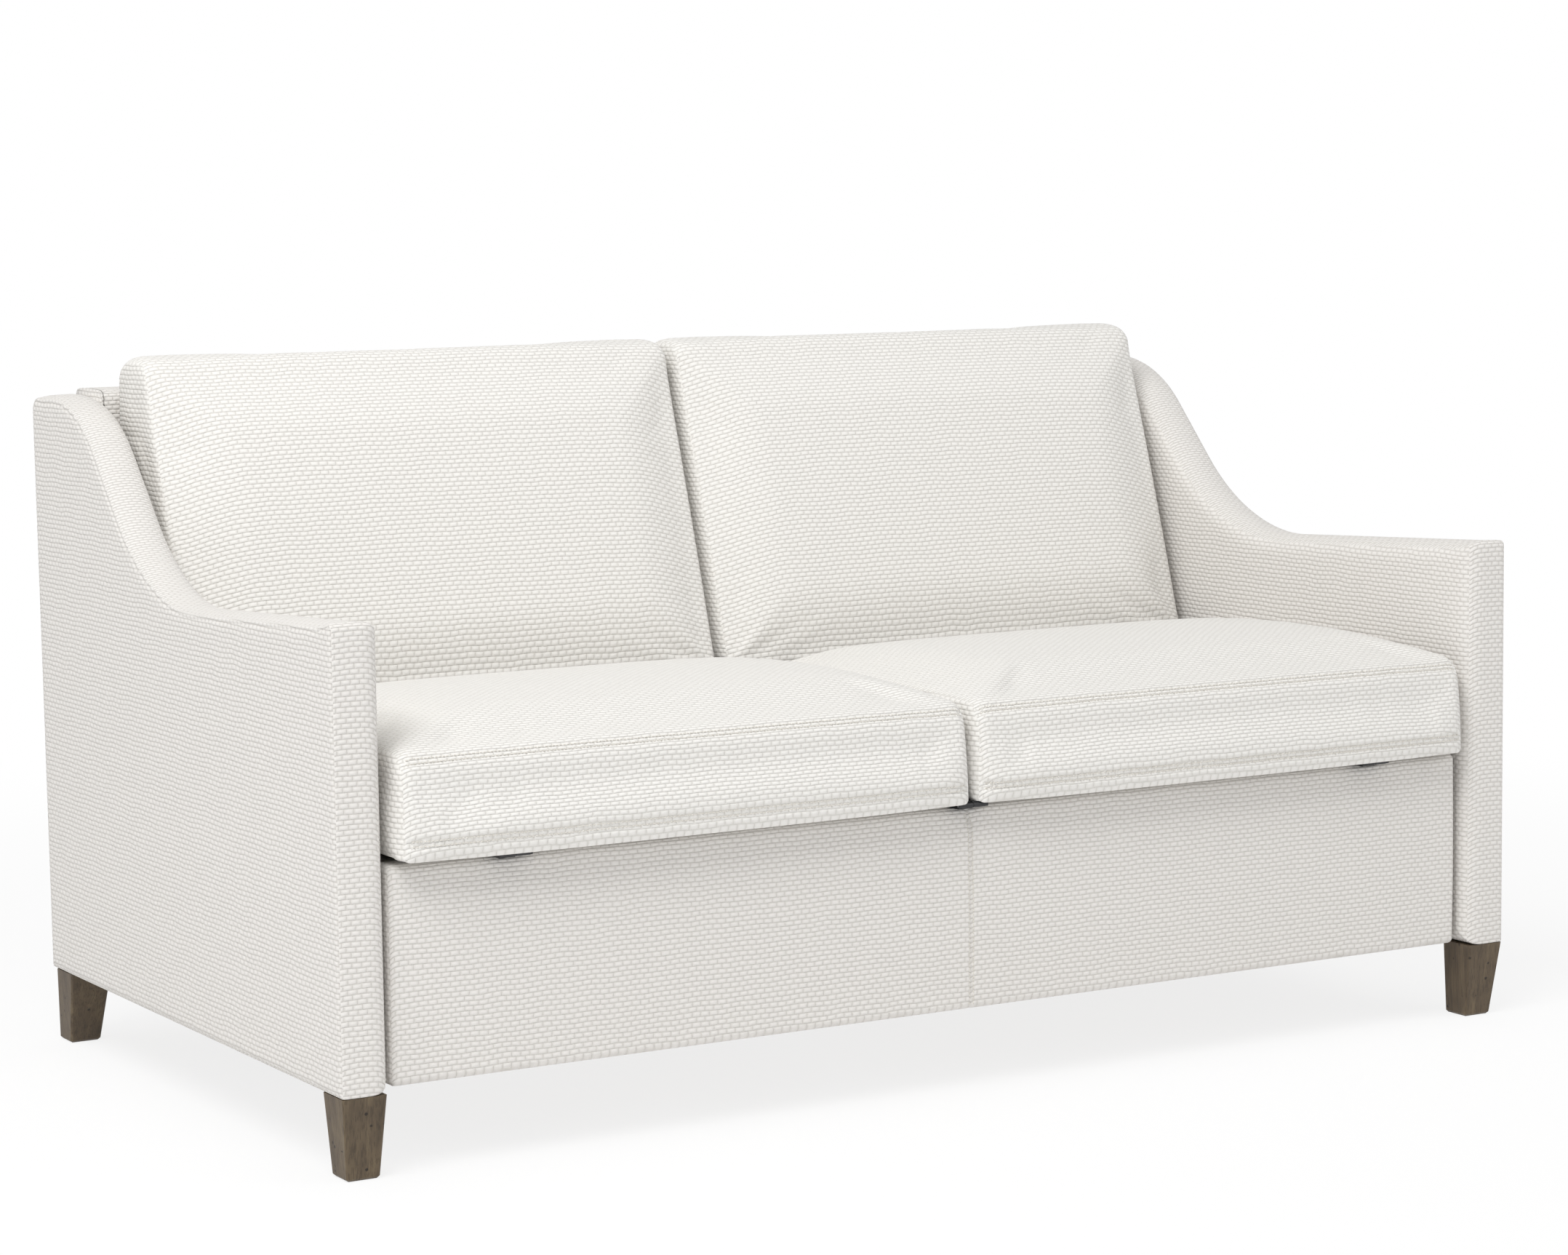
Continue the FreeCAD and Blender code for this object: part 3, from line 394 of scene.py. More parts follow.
def set_vertices(obj, spots):
    obj.data.vertices.foreach_set("co", np.asarray(spots, np.float32).ravel())
    obj.data.update()


def baked(obj):
    """The mesh with its modifiers applied."""
    bpy.context.view_layer.update()
    shown = obj.evaluated_get(bpy.context.evaluated_depsgraph_get())
    final = bpy.data.meshes.new_from_object(shown)
    obj.modifiers.clear()
    obj.data = final
    return obj


def lay_cloth(obj, fall=(1.0, 1.0)):
    """Lays the cloth's pattern on a piece: across it, and down from its top over its front in
    one run. Side faces take it as they stand. fall is the run of cloth per step of Y and Z."""
    mesh = obj.data
    corner = np.empty(len(mesh.loops), np.int32)
    mesh.loops.foreach_get("vertex_index", corner)
    normal = np.empty(len(mesh.polygons) * 3, np.float32)
    mesh.polygons.foreach_get("normal", normal)
    size = np.empty(len(mesh.polygons), np.int32)
    mesh.polygons.foreach_get("loop_total", size)
    at = vertices_of(obj)[corner]
    sideways = np.repeat(np.abs(normal.reshape(-1, 3)[:, 0]) > 0.75, size)
    across = np.where(sideways, at[:, 1], at[:, 0])
    down = np.where(sideways, at[:, 2], at[:, 1] * fall[0] + at[:, 2] * fall[1])
    layer = mesh.uv_layers.new(name="cloth")
    layer.uv.foreach_set("vector", np.stack([across, down], 1).astype(np.float32).ravel())


def dress(obj, finish, body, slot_name, *replaced):
    """Gives a finished piece its material and the body it rides on. slot_name is not used."""
    obj.data.materials.clear()
    obj.data.materials.append(finish)
    if replaced:
        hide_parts(*replaced)
    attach(obj, body)
    return obj


# Outlines with rounded corners

def inset_corners(corners, inset):
    """The corners of a closed clockwise outline, moved in by inset."""
    spots = np.array([c[:2] for c in corners])
    runs = np.roll(spots, -1, 0) - spots
    runs /= np.linalg.norm(runs, axis=1)[:, None]
    inward = np.stack([runs[:, 1], -runs[:, 0]], 1)
    moved = []
    for i, corner in enumerate(corners):
        before, after = inward[i - 1], inward[i]
        spot = spots[i] + inset * (before + after) / (1.0 + before @ after)
        turn = runs[i - 1][0] * runs[i][1] - runs[i - 1][1] * runs[i][0]
        radius = max(corner[2] - inset, 1.0) if turn < 0 else corner[2] + inset
        moved.append((spot, radius))
    return moved


def arc_of_corner(before, here, after, radius, steps):
    a = (before - here) / np.linalg.norm(before - here)
    b = (after - here) / np.linalg.norm(after - here)
    half = math.acos(max(-1.0, min(1.0, float(a @ b)))) / 2.0
    middle = (a + b) / np.linalg.norm(a + b)
    centre = here + middle * radius / math.sin(half)
    start = here + a * radius / math.tan(half) - centre
    end = here + b * radius / math.tan(half) - centre
    swing = math.pi - 2.0 * half
    shares = np.linspace(0.0, 1.0, steps)
    ahead = (end - start * math.cos(swing)) / math.sin(swing)
    return [centre + start * math.cos(swing * s) + ahead * math.sin(swing * s) for s in shares]


def rounded_outline(corners, inset, step=18.0):
    """Points round an outline moved in by inset. Any inset gives the same number of points."""
    moved = inset_corners(corners, inset)
    plain = inset_corners(corners, 0.0)
    count = len(corners)
    arcs = []
    for i in range(count):
        steps = 6 if corners[i][2] < 30.0 else 22
        before, (here, radius), after = moved[i - 1][0], moved[i], moved[(i + 1) % count][0]
        arcs.append(arc_of_corner(before, here, after, radius, steps))
    points = []
    for i in range(count):
        ahead = (i + 1) % count
        points.extend(arcs[i])
        length = np.linalg.norm(plain[ahead][0] - plain[i][0])
        pieces = max(2, int(length / step))
        start, end = arcs[i][-1], arcs[ahead][0]
        points.extend(start + (end - start) * k / pieces for k in range(1, pieces))
    return np.array(points)


def eased(value):
    value = np.clip(value, 0.0, 1.0)
    return value * value * (3.0 - 2.0 * value)


def ring_faces(rings, count):
    """Quads between successive closed rings of points, and a cap on the first and the last."""
    faces = []
    for r in range(rings - 1):
        for k in range(count):
            n = (k + 1) % count
            faces.append((r * count + k, r * count + n, (r + 1) * count + n, (r + 1) * count + k))
    faces.append(tuple(range(count)))
    faces.append(tuple((rings - 1) * count + k for k in reversed(range(count))))
    return faces


# Arms. Each step of the band is (depth from the outer face, inset on top, inset elsewhere)
ARM_BAND = (
    (0.0, 48.0, 48.0), (0.0, 26.0, 24.0), (0.0, 15.5, 9.0), (0.25, 12.6, 5.2), (1.3, 11.2, 3.6),
    (1.5, 10.2, 2.9), (0.7, 8.6, 2.2), (1.6, 6.4, 1.0), (4.0, 4.6, 0.35), (8.0, 2.9, 0.1),
    (14.0, 1.3, 0.0), (22.0, 0.25, 0.0), (30.0, 0.0, 0.0), (38.0, 0.9, 0.1), (45.0, 2.9, 0.9),
    (51.0, 6.2, 2.8), (55.5, 10.4, 6.2), (58.8, 16.0, 11.0), (60.5, 22.5, 17.0), (61.0, 30.0, 24.0),
    (61.0, 48.0, 48.0),
)
ARM_CORNER_EASE = 36.0  # mm over which the domed top dies out at the corners
ARM_REAR = 941.0
ARM_TOP_FROM = 400.0    # the Z above which the outline is the arm's top


def arm_upholstery(name, side):
    """A slim padded arm: flat faces, a domed band along the top with a seam on its outer
    edge, a soft inner shoulder and a nearly square front."""
    outline = rounded_outline(ARM_CORNERS, 0.0)
    along = outline[:, 0]
    high = outline[:, 1] > ARM_TOP_FROM
    front_gap = np.where(high, along, 0.0)
    rear_gap = np.where(high, ARM_REAR - along, 0.0)
    domed = eased(front_gap / ARM_CORNER_EASE) * eased(rear_gap / ARM_CORNER_EASE)
    paths = {d: rounded_outline(ARM_CORNERS, d) for step in ARM_BAND for d in step[1:]}
    points = []
    for depth, top, edge in ARM_BAND:
        path = paths[edge] + (paths[top] - paths[edge]) * domed[:, None]
        x = np.full(len(path), side * (HALF_WIDTH - depth))
        points.append(np.column_stack([x, path]))
    faces = ring_faces(len(ARM_BAND), len(outline))
    made = mesh_object("arm_upholstery_" + name, np.concatenate(points), faces)
    facing_out(made)
    lay_cloth(made)
    return dress(made, BODY_CLOTH, "sofa_frame", "upholstery_fabric", "arm_cover_" + name)


# Slabs: panels and mattresses. A slab has a near and a far face on one grid, joined by a wall

def slab(name, us, vs, near, far, wall, turned, plan_round=0.0):
    """us and vs are the grid's lines, near and far the height of each face on it, and wall
    (steps, bulge) its edge. turned() maps (u, v, height) columns to X, Y, Z."""
    uu, vv = np.meshgrid(us, vs, indexing="ij")
    uu, vv = round_plan(uu, vv, plan_round)
    count_u, count_v = uu.shape
    faces = [np.stack([uu, vv, h], -1).reshape(-1, 3) for h in (near, far)]
    edge = [i * count_v for i in range(count_u)]
    edge += [(count_u - 1) * count_v + j for j in range(1, count_v)]
    edge += [i * count_v + count_v - 1 for i in range(count_u - 2, -1, -1)]
    edge += [j for j in range(count_v - 2, 0, -1)]
    steps, bulge = wall
    centre = np.array([uu.mean(), vv.mean(), 0.0])
    rings = []
    for k in range(1, steps):
        share = k / steps
        ring = faces[0][edge] * (1.0 - share) + faces[1][edge] * share
        out = (ring - centre) * (1.0, 1.0, 0.0)
        edge_reach = np.abs(out).max(0)
        lean = np.sign(out) * (np.abs(out) > edge_reach - 1.0 - plan_round * 0.3)
        rings.append(ring + lean * bulge * math.sin(math.pi * share))
    points = np.concatenate(faces + rings)
    quads = []
    base = count_u * count_v
    for i in range(count_u - 1):
        for j in range(count_v - 1):
            a = i * count_v + j
            quads.append((a, a + 1, a + count_v + 1, a + count_v))
            quads.append((base + a, base + a + count_v, base + a + count_v + 1, base + a + 1))
    chain = [edge]
    for r in range(len(rings)):
        chain.append([2 * base + r * len(edge) + k for k in range(len(edge))])
    chain.append([base + k for k in edge])
    for before, after in zip(chain, chain[1:]):
        for k in range(len(edge)):
            n = (k + 1) % len(edge)
            quads.append((before[k], before[n], after[n], after[k]))
    return facing_out(mesh_object(name, turned(points), quads))


def round_plan(uu, vv, radius):
    """Draws the corners of a rectangular grid in to a radius."""
    if radius <= 0.0:
        return uu, vv
    grids = (uu, vv)
    middle = [(grid.min() + grid.max()) / 2.0 for grid in grids]
    reach = [grid.max() - mid - radius for grid, mid in zip(grids, middle)]
    past = [np.maximum(np.abs(g - mid) - r, 0.0) for g, mid, r in zip(grids, middle, reach)]
    both = (past[0] > 0.0) & (past[1] > 0.0)
    scale = np.maximum(past[0], past[1]) / np.maximum(np.hypot(past[0], past[1]), 1e-9)
    rounded = []
    for grid, mid, r, over in zip(grids, middle, reach, past):
        size = np.minimum(np.abs(grid - mid), r) + over * scale
        rounded.append(np.where(both, mid + np.sign(grid - mid) * size, grid))
    return rounded


def lines(low, high, step, edge):
    """Grid lines about a step apart, closer together within edge of both ends."""
    inner = np.linspace(low + edge, high - edge, max(2, int((high - low - 2 * edge) / step)))
    start = low + edge * (1.0 - np.cos(np.linspace(0.0, math.pi / 2.0, 7)[:-1]))
    end = high - (start - low)[::-1]
    return np.concatenate([start, inner, end])


def edge_drop(us, vs, radius):
    """How far a face falls away at its edges, as a quarter round of that radius."""
    fall = []
    for grid in (us, vs):
        gap = np.minimum(grid - grid[0], grid[-1] - grid)
        share = 1.0 - np.clip(gap / radius, 0.0, 1.0)
        fall.append(1.0 - np.sqrt(np.clip(1.0 - share ** 2, 0.0, 1.0)))
    return radius * np.clip(np.hypot(fall[0][:, None], fall[1][None, :]), 0.0, 1.0)


def raised(grid):
    """A soft swell along grid lines: none at both ends and 1 in the middle."""
    return np.sin(math.pi * (grid - grid[0]) / (grid[-1] - grid[0]))


def panel_seam_x(z):
    """Where the front panel's seam runs at a height."""
    return SEAM_X - SEAM_LEAN * eased((z - SEAM_LEAN_Z[0]) / SEAM_LEAN_Z[1])


def front_panel():
    """Padded front panel in two widths of cloth, joined at the middle by a flat seam."""
    us = lines(-PANEL_HALF, PANEL_HALF, 9.0, GRID_EDGE)
    near_seam = np.arange(SEAM_X - GRID_EDGE, SEAM_X + GRID_EDGE + 0.1, 1.5)
    us = np.unique(np.concatenate([us[np.abs(us - SEAM_X) > GRID_EDGE + 1.0], near_seam]))
    vs = lines(PANEL_Z[0], PANEL_Z[1], 9.0, GRID_EDGE)
    near = PANEL_Y[0] + edge_drop(us, vs, PANEL_ROUND)
    puff = raised(vs)[None, :] * PANEL_PUFF
    width, depth = SEAM_GROOVE
    groove = np.exp(-((us[:, None] - panel_seam_x(vs)[None, :]) / width) ** 2) * depth
    near = near + PANEL_PUFF - puff + groove
    far = np.full_like(near, PANEL_Y[1])
    made = slab("front_panel_upholstery", us, vs, near, far, (4, 0.0), standing, 6.0)
    lay_cloth(made)
    return dress(made, BODY_CLOTH, "bed_carriage", "upholstery_fabric", "front_panel_cover")


def standing(points):
    """Turns a slab's (u, v, height) to X, Z and Y, so it stands facing the front."""
    return points[:, [0, 2, 1]]


def back_depth(z):
    share = (z - BACK_FOOT) / (BACK_TOP - BACK_FOOT)
    return BACK_FOOT_Y + share * (BACK_HEAD_Y - BACK_FOOT_Y)


def outside_back():
    """The outside back: cloth stretched over its board and turned in at its sides, which show
    beside the arms' rounded rear edges."""
    high = BACK_TOP - BACK_SEAM
    half = ARM_INNER + BACK_TURN_OUT
    us = lines(-half, half, 24.0, 10.0)
    vs = lines(BACK_FOOT, high, 24.0, 10.0)
    slack = raised(us)[:, None] * raised(vs)[None, :]
    far = back_depth(vs)[None, :] - edge_drop(us, vs, 3.0) + BACK_SLACK * slack
    near = np.repeat(back_depth(vs)[None, :] - BACK_COVER, len(us), 0)
    near[[0, -1]] -= BACK_TURN_IN
    made = slab("outside_back_upholstery", us, vs, near, far, (2, 0.0), standing)
    lay_cloth(made)
    return dress(made, BODY_CLOTH, "sofa_frame", "upholstery_fabric", "back_cover")


# Section of the cloth over the top rail, as (Y, Z): over its outer face, and back inside
BACK_BAND = (
    (847.0, 778.0), (844.5, 776.0), (842.0, 779.0), (842.0, 800.0), (842.0, 840.0), (842.4, 849.0),
    (844.5, 854.5), (849.5, 857.6), (858.0, 858.6), (890.0, 859.6), (920.0, 858.9), (930.0, 857.4),
    (935.8, 853.6), (938.3, 847.6), (938.6, 840.0), (938.3, 834.5), (937.0, 832.3), (933.5, 832.6),
    (933.5, 848.0), (930.5, 853.4), (890.0, 854.0), (850.0, 853.6), (846.6, 851.0), (846.6, 800.0),
)
BACK_BAND_OUTER = BACK_BAND[2:17] + ((930.0, 779.0),)
BAND_END_X = (777.0, 779.8)


def top_rail_band():
    """Band of cloth over the back's top rail, between the arms."""
    xs = np.linspace(-ARM_INNER + 0.2, ARM_INNER - 0.2, 66)
    section = np.array(BACK_BAND)
    points = np.concatenate([np.column_stack([np.full(len(section), x), section]) for x in xs])
    made = facing_out(mesh_object("top_rail_upholstery", points, ring_faces(len(xs), len(section))))
    lay_cloth(made)
    return dress(made, BODY_CLOTH, "sofa_frame", "upholstery_fabric", "back_top_cover")


def top_rail_end(name, side):
    """The cloth folded flat over the top rail's end, which shows above the arm's shoulder."""
    outline = np.array(BACK_BAND_OUTER)
    points = [np.column_stack([np.full(len(outline), side * x), outline]) for x in BAND_END_X]
    made = mesh_object("top_rail_end_" + name, np.concatenate(points), ring_faces(2, len(outline)))
    facing_out(made)
    lay_cloth(made)
    return dress(made, BODY_CLOTH, "sofa_frame", "upholstery_fabric")


# Cushions. Each starts as a slack shape, and its cloth is then blown out by its filling

def arc_points(start, through, end, count):
    """Points on the circle through three, from start to end."""
    a, b, c = (np.array(p, float) for p in (start, through, end))
    m = np.array([b - a, c - b])
    if abs(np.linalg.det(m)) < 1e-6:
        return [a + (c - a) * s for s in np.linspace(0.0, 1.0, count)]
    centre = np.linalg.solve(m, 0.5 * np.array([b @ b - a @ a, c @ c - b @ b]))
    radius = np.linalg.norm(a - centre)
    angles = np.unwrap([math.atan2(*(p - centre)[::-1]) for p in (a, b, c)])
    turns = np.linspace(angles[0], angles[2], count)
    return [centre + radius * np.array([math.cos(t), math.sin(t)]) for t in turns]


def straight(start, end, count):
    start, run = np.array(start), np.array(end) - np.array(start)
    return [start + run * s for s in np.linspace(0.0, 1.0, count)]


def lens(share):
    """Fullness of a cushion across its width, none at the sides and 1 in the middle."""
    return 1.0 - (2.0 * share - 1.0) ** 4


def seat_profile(full):
    """Side profile of a slack seat cushion, from its low rear corner to the front and back.
    Its cloth hangs a little lower in front of the hinges, where SEAT_LIP is its lowest."""
    draw = SLACK_DRAW * (1.0 - full)
    front, rear = SEAT_FRONT + draw, SEAT_REAR - draw
    crown = (200.0, 491.0 + 8.0 * full)
    lip = ((-7.0, 359.0), (front + 2.0, SEAT_LIP), (front - 2.0, SEAT_LIP + 1.5))
    points = straight((rear, SEAT_Z), (-3.0, SEAT_Z), 34)
    points += [np.array(p) for p in lip]
    points += arc_points(
        (front - 4.0, SEAT_Z + 4.0), (front - 5.5, 414.0), (front - 0.5, 464.0), 16)
    points += arc_points((front + 1.5, 471.0), (front + 7.0, 479.5), (front + 16.0, 485.0), 5)
    points += arc_points((front + 24.0, 487.5), crown, (rear - 8.0, 460.0), 40)
    points += arc_points((rear - 3.0, 457.0), (rear - 1.0, 455.0), (rear, 450.0), 3)
    points += straight((rear, 444.0), (rear, SEAT_Z + 4.0), 10)
    return np.array(points)


def back_profile(full):
    """Side profile of a slack back cushion. Its rear is scooped clear of the bed's head."""
    draw = SLACK_DRAW * (1.0 - full)
    foot = np.array((REST_FOOT[0] + draw, REST_FOOT[1]))
    head = np.array((REST_HEAD[0] + draw, REST_HEAD[1] - draw))
    run = head - foot
    out = np.array((-run[1], run[0])) / np.linalg.norm(run)
    belly = (foot + head) / 2.0 + out * (3.0 + 6.0 * full)
    crown = (790.0, 905.0 + 2.0 * full)
    points = arc_points(foot + (-1.0, 4.0), belly, head, 40)
    points += arc_points(head + (8.0, 7.0), crown, (REST_REAR - 6.0, 897.0 - draw), 12)
    points += straight((REST_REAR, 888.0 - draw), (REST_REAR, 803.0), 8)
    points += straight((REST_REAR - 7.0, 798.0), (REST_SCOOP, 772.0), 6)
    points += straight((REST_SCOOP, 764.0), (REST_SCOOP, 632.0), 12)
    points += arc_points((REST_SCOOP, 624.0), (734.0, 530.0), (664.0, REST_FOOT[1]), 20)
    return np.array(points)


def quarter_round(gap, radius):
    """How far a rounded edge of that radius stands back at a gap from the end."""
    return radius * (1.0 - math.sqrt(max(0.0, 1.0 - (1.0 - min(gap / radius, 1.0)) ** 2)))


def slack_cushion(name, profile, x_range, anchor, eases):
    """A closed shape through one profile across its width. At its ends it draws in towards
    the anchor, with one radius in depth and one in height."""
    shares = np.concatenate([[0.0, 0.003, 0.009, 0.02, 0.035], np.linspace(0.06, 0.94, 23)])
    shares = np.concatenate([shares, 1.0 - shares[4::-1]])
    rings = []
    for share in shares:
        ring = profile(lens(share))
        gap = min(share, 1.0 - share) * (x_range[1] - x_range[0])
        pulls = np.array([quarter_round(gap, ease) for ease in eases])
        ring = anchor + (ring - anchor) * (1.0 - pulls / np.abs(ring - anchor).max(0))
        x = x_range[0] + share * (x_range[1] - x_range[0])
        rings.append(np.column_stack([np.full(len(ring), x), ring]))
    points = np.concatenate(rings)
    return facing_out(mesh_object(name, points, ring_faces(len(rings), len(rings[0]))))


def cut_away(obj, low, high):
    """Takes a box, given by its corners, out of a piece."""
    bpy.ops.mesh.primitive_cube_add(size=1.0)
    tool = bpy.context.object
    corners = place([low, high])
    tool.location = (corners[0] + corners[1]) / 2.0
    tool.scale = corners[1] - corners[0]
    cut = obj.modifiers.new("hollow", "BOOLEAN")
    cut.operation = "DIFFERENCE"
    cut.object = tool
    baked(obj)
    bpy.data.objects.remove(tool)


VOXEL = 0.006        # m, mesh step of a cushion while its cloth is blown out
FILL_PRESSURE = 4.0
FILL_FRAMES = 20
CLOTH_STRETCH = 15.0  # stiffness
CLOTH_BEND = 2.0


def even_mesh(obj):
    even = obj.modifiers.new("even", "REMESH")
    even.mode = "VOXEL"
    even.voxel_size = VOXEL
    baked(obj)


EDGE_REACH = 0.003  # m that the cloth may move at a sewn edge
FACE_REACH = 0.023  # m that it may swell in the middle of a wide face
FACE_GAP = 0.110    # m from an edge to where it swells that far


def swell_reach(spots, x_range, edges):
    """How far each point may move: little by the cushion's edges, given as (y, z) places."""
    gap = np.minimum(spots[:, 0] - x_range[0], x_range[1] - spots[:, 0])
    for edge in edges:
        gap = np.minimum(gap, np.hypot(spots[:, 1] - edge[0], spots[:, 2] - edge[1]))
    return EDGE_REACH + (FACE_REACH - EDGE_REACH) * eased(gap / 1000.0 / FACE_GAP)[:, None]


def blow_out(obj, held, reach):
    """Blows the cloth out by its filling. held marks points that stay, and reach is the
    furthest that each point may move, in metres."""
    start = vertices_of(obj)
    group = obj.vertex_groups.new(name="held")
    group.add([int(i) for i in np.nonzero(held)[0]], 1.0, "REPLACE")
    cloth = obj.modifiers.new("filling", "CLOTH")
    settings = cloth.settings
    settings.quality = 5
    settings.use_pressure = True
    settings.uniform_pressure_force = FILL_PRESSURE
    settings.effector_weights.gravity = 0.0
    settings.vertex_group_mass = "held"
    settings.tension_stiffness = settings.compression_stiffness = CLOTH_STRETCH
    settings.bending_stiffness = CLOTH_BEND
    cloth.point_cache.frame_start, cloth.point_cache.frame_end = 1, FILL_FRAMES
    scene = bpy.context.scene
    for step in range(1, FILL_FRAMES + 1):
        scene.frame_set(step)
    blown = vertices_of(obj.evaluated_get(bpy.context.evaluated_depsgraph_get()))
    obj.modifiers.clear()
    scene.frame_set(1)
    move = blown - start
    length = np.linalg.norm(move, axis=1)[:, None]
    move *= reach * np.tanh(length / reach) / np.maximum(length, 1e-9)
    set_vertices(obj, start + move)


def relaxed(obj, rounds, held=None):
    """Evens a mesh out, as cloth does over soft filling."""
    spots = vertices_of(obj)
    pairs = np.empty(len(obj.data.edges) * 2, np.int32)
    obj.data.edges.foreach_get("vertices", pairs)
    a, b = pairs.reshape(-1, 2).T
    count = np.bincount(np.concatenate([a, b]), minlength=len(spots))[:, None]
    free = np.ones(len(spots), bool) if held is None else ~held
    for _ in range(rounds):
        total = np.zeros_like(spots)
        for axis in range(3):
            total[:, axis] = np.bincount(a, spots[b, axis], len(spots))
            total[:, axis] += np.bincount(b, spots[a, axis], len(spots))
        mean = total / np.maximum(count, 1)
        spots[free] += 0.5 * (mean[free] - spots[free])
    set_vertices(obj, spots)


def in_mm(obj):
    return vertices_of(obj) * 1000.0 + (0.0, CENTRE_Y, 0.0)


def fitted(obj, limits):
    """Holds a cushion off its neighbours: it flattens where it meets them."""
    spots = in_mm(obj)
    for axis, low, high in limits:
        if low is not None:
            spots[:, axis] = np.maximum(spots[:, axis], low)
        if high is not None:
            spots[:, axis] = np.minimum(spots[:, axis], high)
    set_vertices(obj, place(spots))


def finer(obj):
    obj.modifiers.new("finer", "SUBSURF").levels = 1
    baked(obj)


# A cushion's ends draw in towards an anchor, given as (Y, Z), by a radius in depth and one in
# height. Its limits are (axis, low, high) and its sewn edges (Y, Z).
SEAT_ANCHOR = (300.0, SEAT_Z)
SEAT_EASES = (16.0, 15.0)
SEAT_EDGES = ((-8.0, 482.0), (-16.0, SEAT_Z), (SEAT_REAR, 458.0), (SEAT_REAR, SEAT_Z))
SEAT_LIMITS = ((0, SEAT_SPLIT, SEAT_HALF + 2.0), (1, -20.0, 590.0), (2, SEAT_LIP, None))
REST_ANCHOR = (740.0, 650.0)
REST_EASES = (12.0, 16.0)
REST_EDGES = ((741.0, 900.0), (601.0, 458.0), (836.0, 896.0))
REST_LIMITS = ((0, 1.0, 769.0), (1, None, 840.5), (2, 456.0, 914.0))
REST_SCOOP_SLOPE = 0.36
NEAR = 2.0   # mm from the hollow at which the cloth is held


def seat_cushion_right():
    """A boxed seat cushion, hollow below where it caps the deck and the foot mattress."""
    made = slack_cushion(
        "seat_cushion_cloth_right", seat_profile, SEAT_SLACK_X, np.array(SEAT_ANCHOR), SEAT_EASES)
    low = (-10.0, SEAT_WALL_Y[0], SEAT_Z - 9.0)
    high = (SEAT_WALL_X, SEAT_WALL_Y[1], SEAT_DECK_TOP)
    cut_away(made, low, high)
    even_mesh(made)
    spots = in_mm(made)
    x, y, z = spots.T
    inside = (x < high[0] + NEAR) & (y > low[1] - NEAR) & (y < high[1] + NEAR)
    held = (z < SEAT_Z + 3.0) | (inside & (z < high[2] + NEAR))
    reach = swell_reach(spots, SEAT_SLACK_X, SEAT_EDGES)
    blow_out(made, held, reach)
    relaxed(made, 3, held)
    fitted(made, SEAT_LIMITS)
    spots = in_mm(made)
    behind = spots[:, 1] > SEAT_LIP_BACK
    spots[behind, 2] = np.maximum(spots[behind, 2], SEAT_Z)
    set_vertices(made, place(spots))
    return made


def back_cushion_right():
    """A loose back cushion: full front, boxed top, scooped rear."""
    made = slack_cushion(
        "back_cushion_cloth_right", back_profile, REST_SLACK_X, np.array(REST_ANCHOR), REST_EASES)
    even_mesh(made)
    spots = in_mm(made)
    y, z = spots[:, 1], spots[:, 2]
    rear = (y > 640.0 + REST_SCOOP_SLOPE * (z - REST_FOOT[1])) & (z < 800.0)
    held = rear | (z < REST_FOOT[1] + 3.0)
    reach = swell_reach(spots, REST_SLACK_X, REST_EDGES)
    blow_out(made, held, reach)
    relaxed(made, 3, held)
    fitted(made, REST_LIMITS)
    return made


def mirrored_copy(obj, name):
    """The same cushion for the other side."""
    mesh = obj.data.copy()
    mesh.name = name
    made = wrap(name, mesh)
    set_vertices(made, vertices_of(made) * (-1.0, 1.0, 1.0))
    mesh.flip_normals()
    return made


# Mattress sections

QUILT = 118.0       # mm from one sewn line of the quilting to the next
QUILT_DEEP = 7.0
MATTRESS_ROUND = 18.0
MATTRESS_PLAN_ROUND = 20.0
TAPE_R = 3.6
TAPE_IN = 15.0      # mm from a face to the middle of its tape
TAPE_SIDES = 8


def quilted(us, vs):
    """Depth of the sewn lozenges below the mattress's highest points."""
    a = np.sin(math.pi * (us[:, None] + vs[None, :]) / QUILT)
    b = np.sin(math.pi * (us[:, None] - vs[None, :]) / QUILT)
    return QUILT_DEEP * (1.0 - np.sqrt(np.abs(a * b)))


def swept_ring(name, path, radius):
    """A round cord along a closed path."""
    ahead = np.roll(path, -1, 0) - np.roll(path, 1, 0)
    ahead /= np.linalg.norm(ahead, axis=1)[:, None]
    flat = np.linalg.svd(path - path.mean(0))[2][2]
    side = np.cross(ahead, flat)
    rings = []
    for angle in np.linspace(0.0, TAU, TAPE_SIDES, endpoint=False):
        rings.append(path + radius * (math.cos(angle) * side + math.sin(angle) * flat))
    count = len(path)
    faces = []
    for r in range(TAPE_SIDES):
        for k in range(count):
            n, s = (k + 1) % count, (r + 1) % TAPE_SIDES
            faces.append((r * count + k, r * count + n, s * count + n, s * count + k))
    return facing_out(mesh_object(name, np.concatenate(rings), faces))


def plan_ring(us, vs, inset, radius):
    """A rounded rectangle round a slab's plan, as (u, v) points."""
    corners = [
        (us[0] + inset, vs[0] + inset, radius), (us[0] + inset, vs[-1] - inset, radius),
        (us[-1] - inset, vs[-1] - inset, radius), (us[-1] - inset, vs[0] + inset, radius),
    ]
    return rounded_outline(corners, 0.0, 12.0)


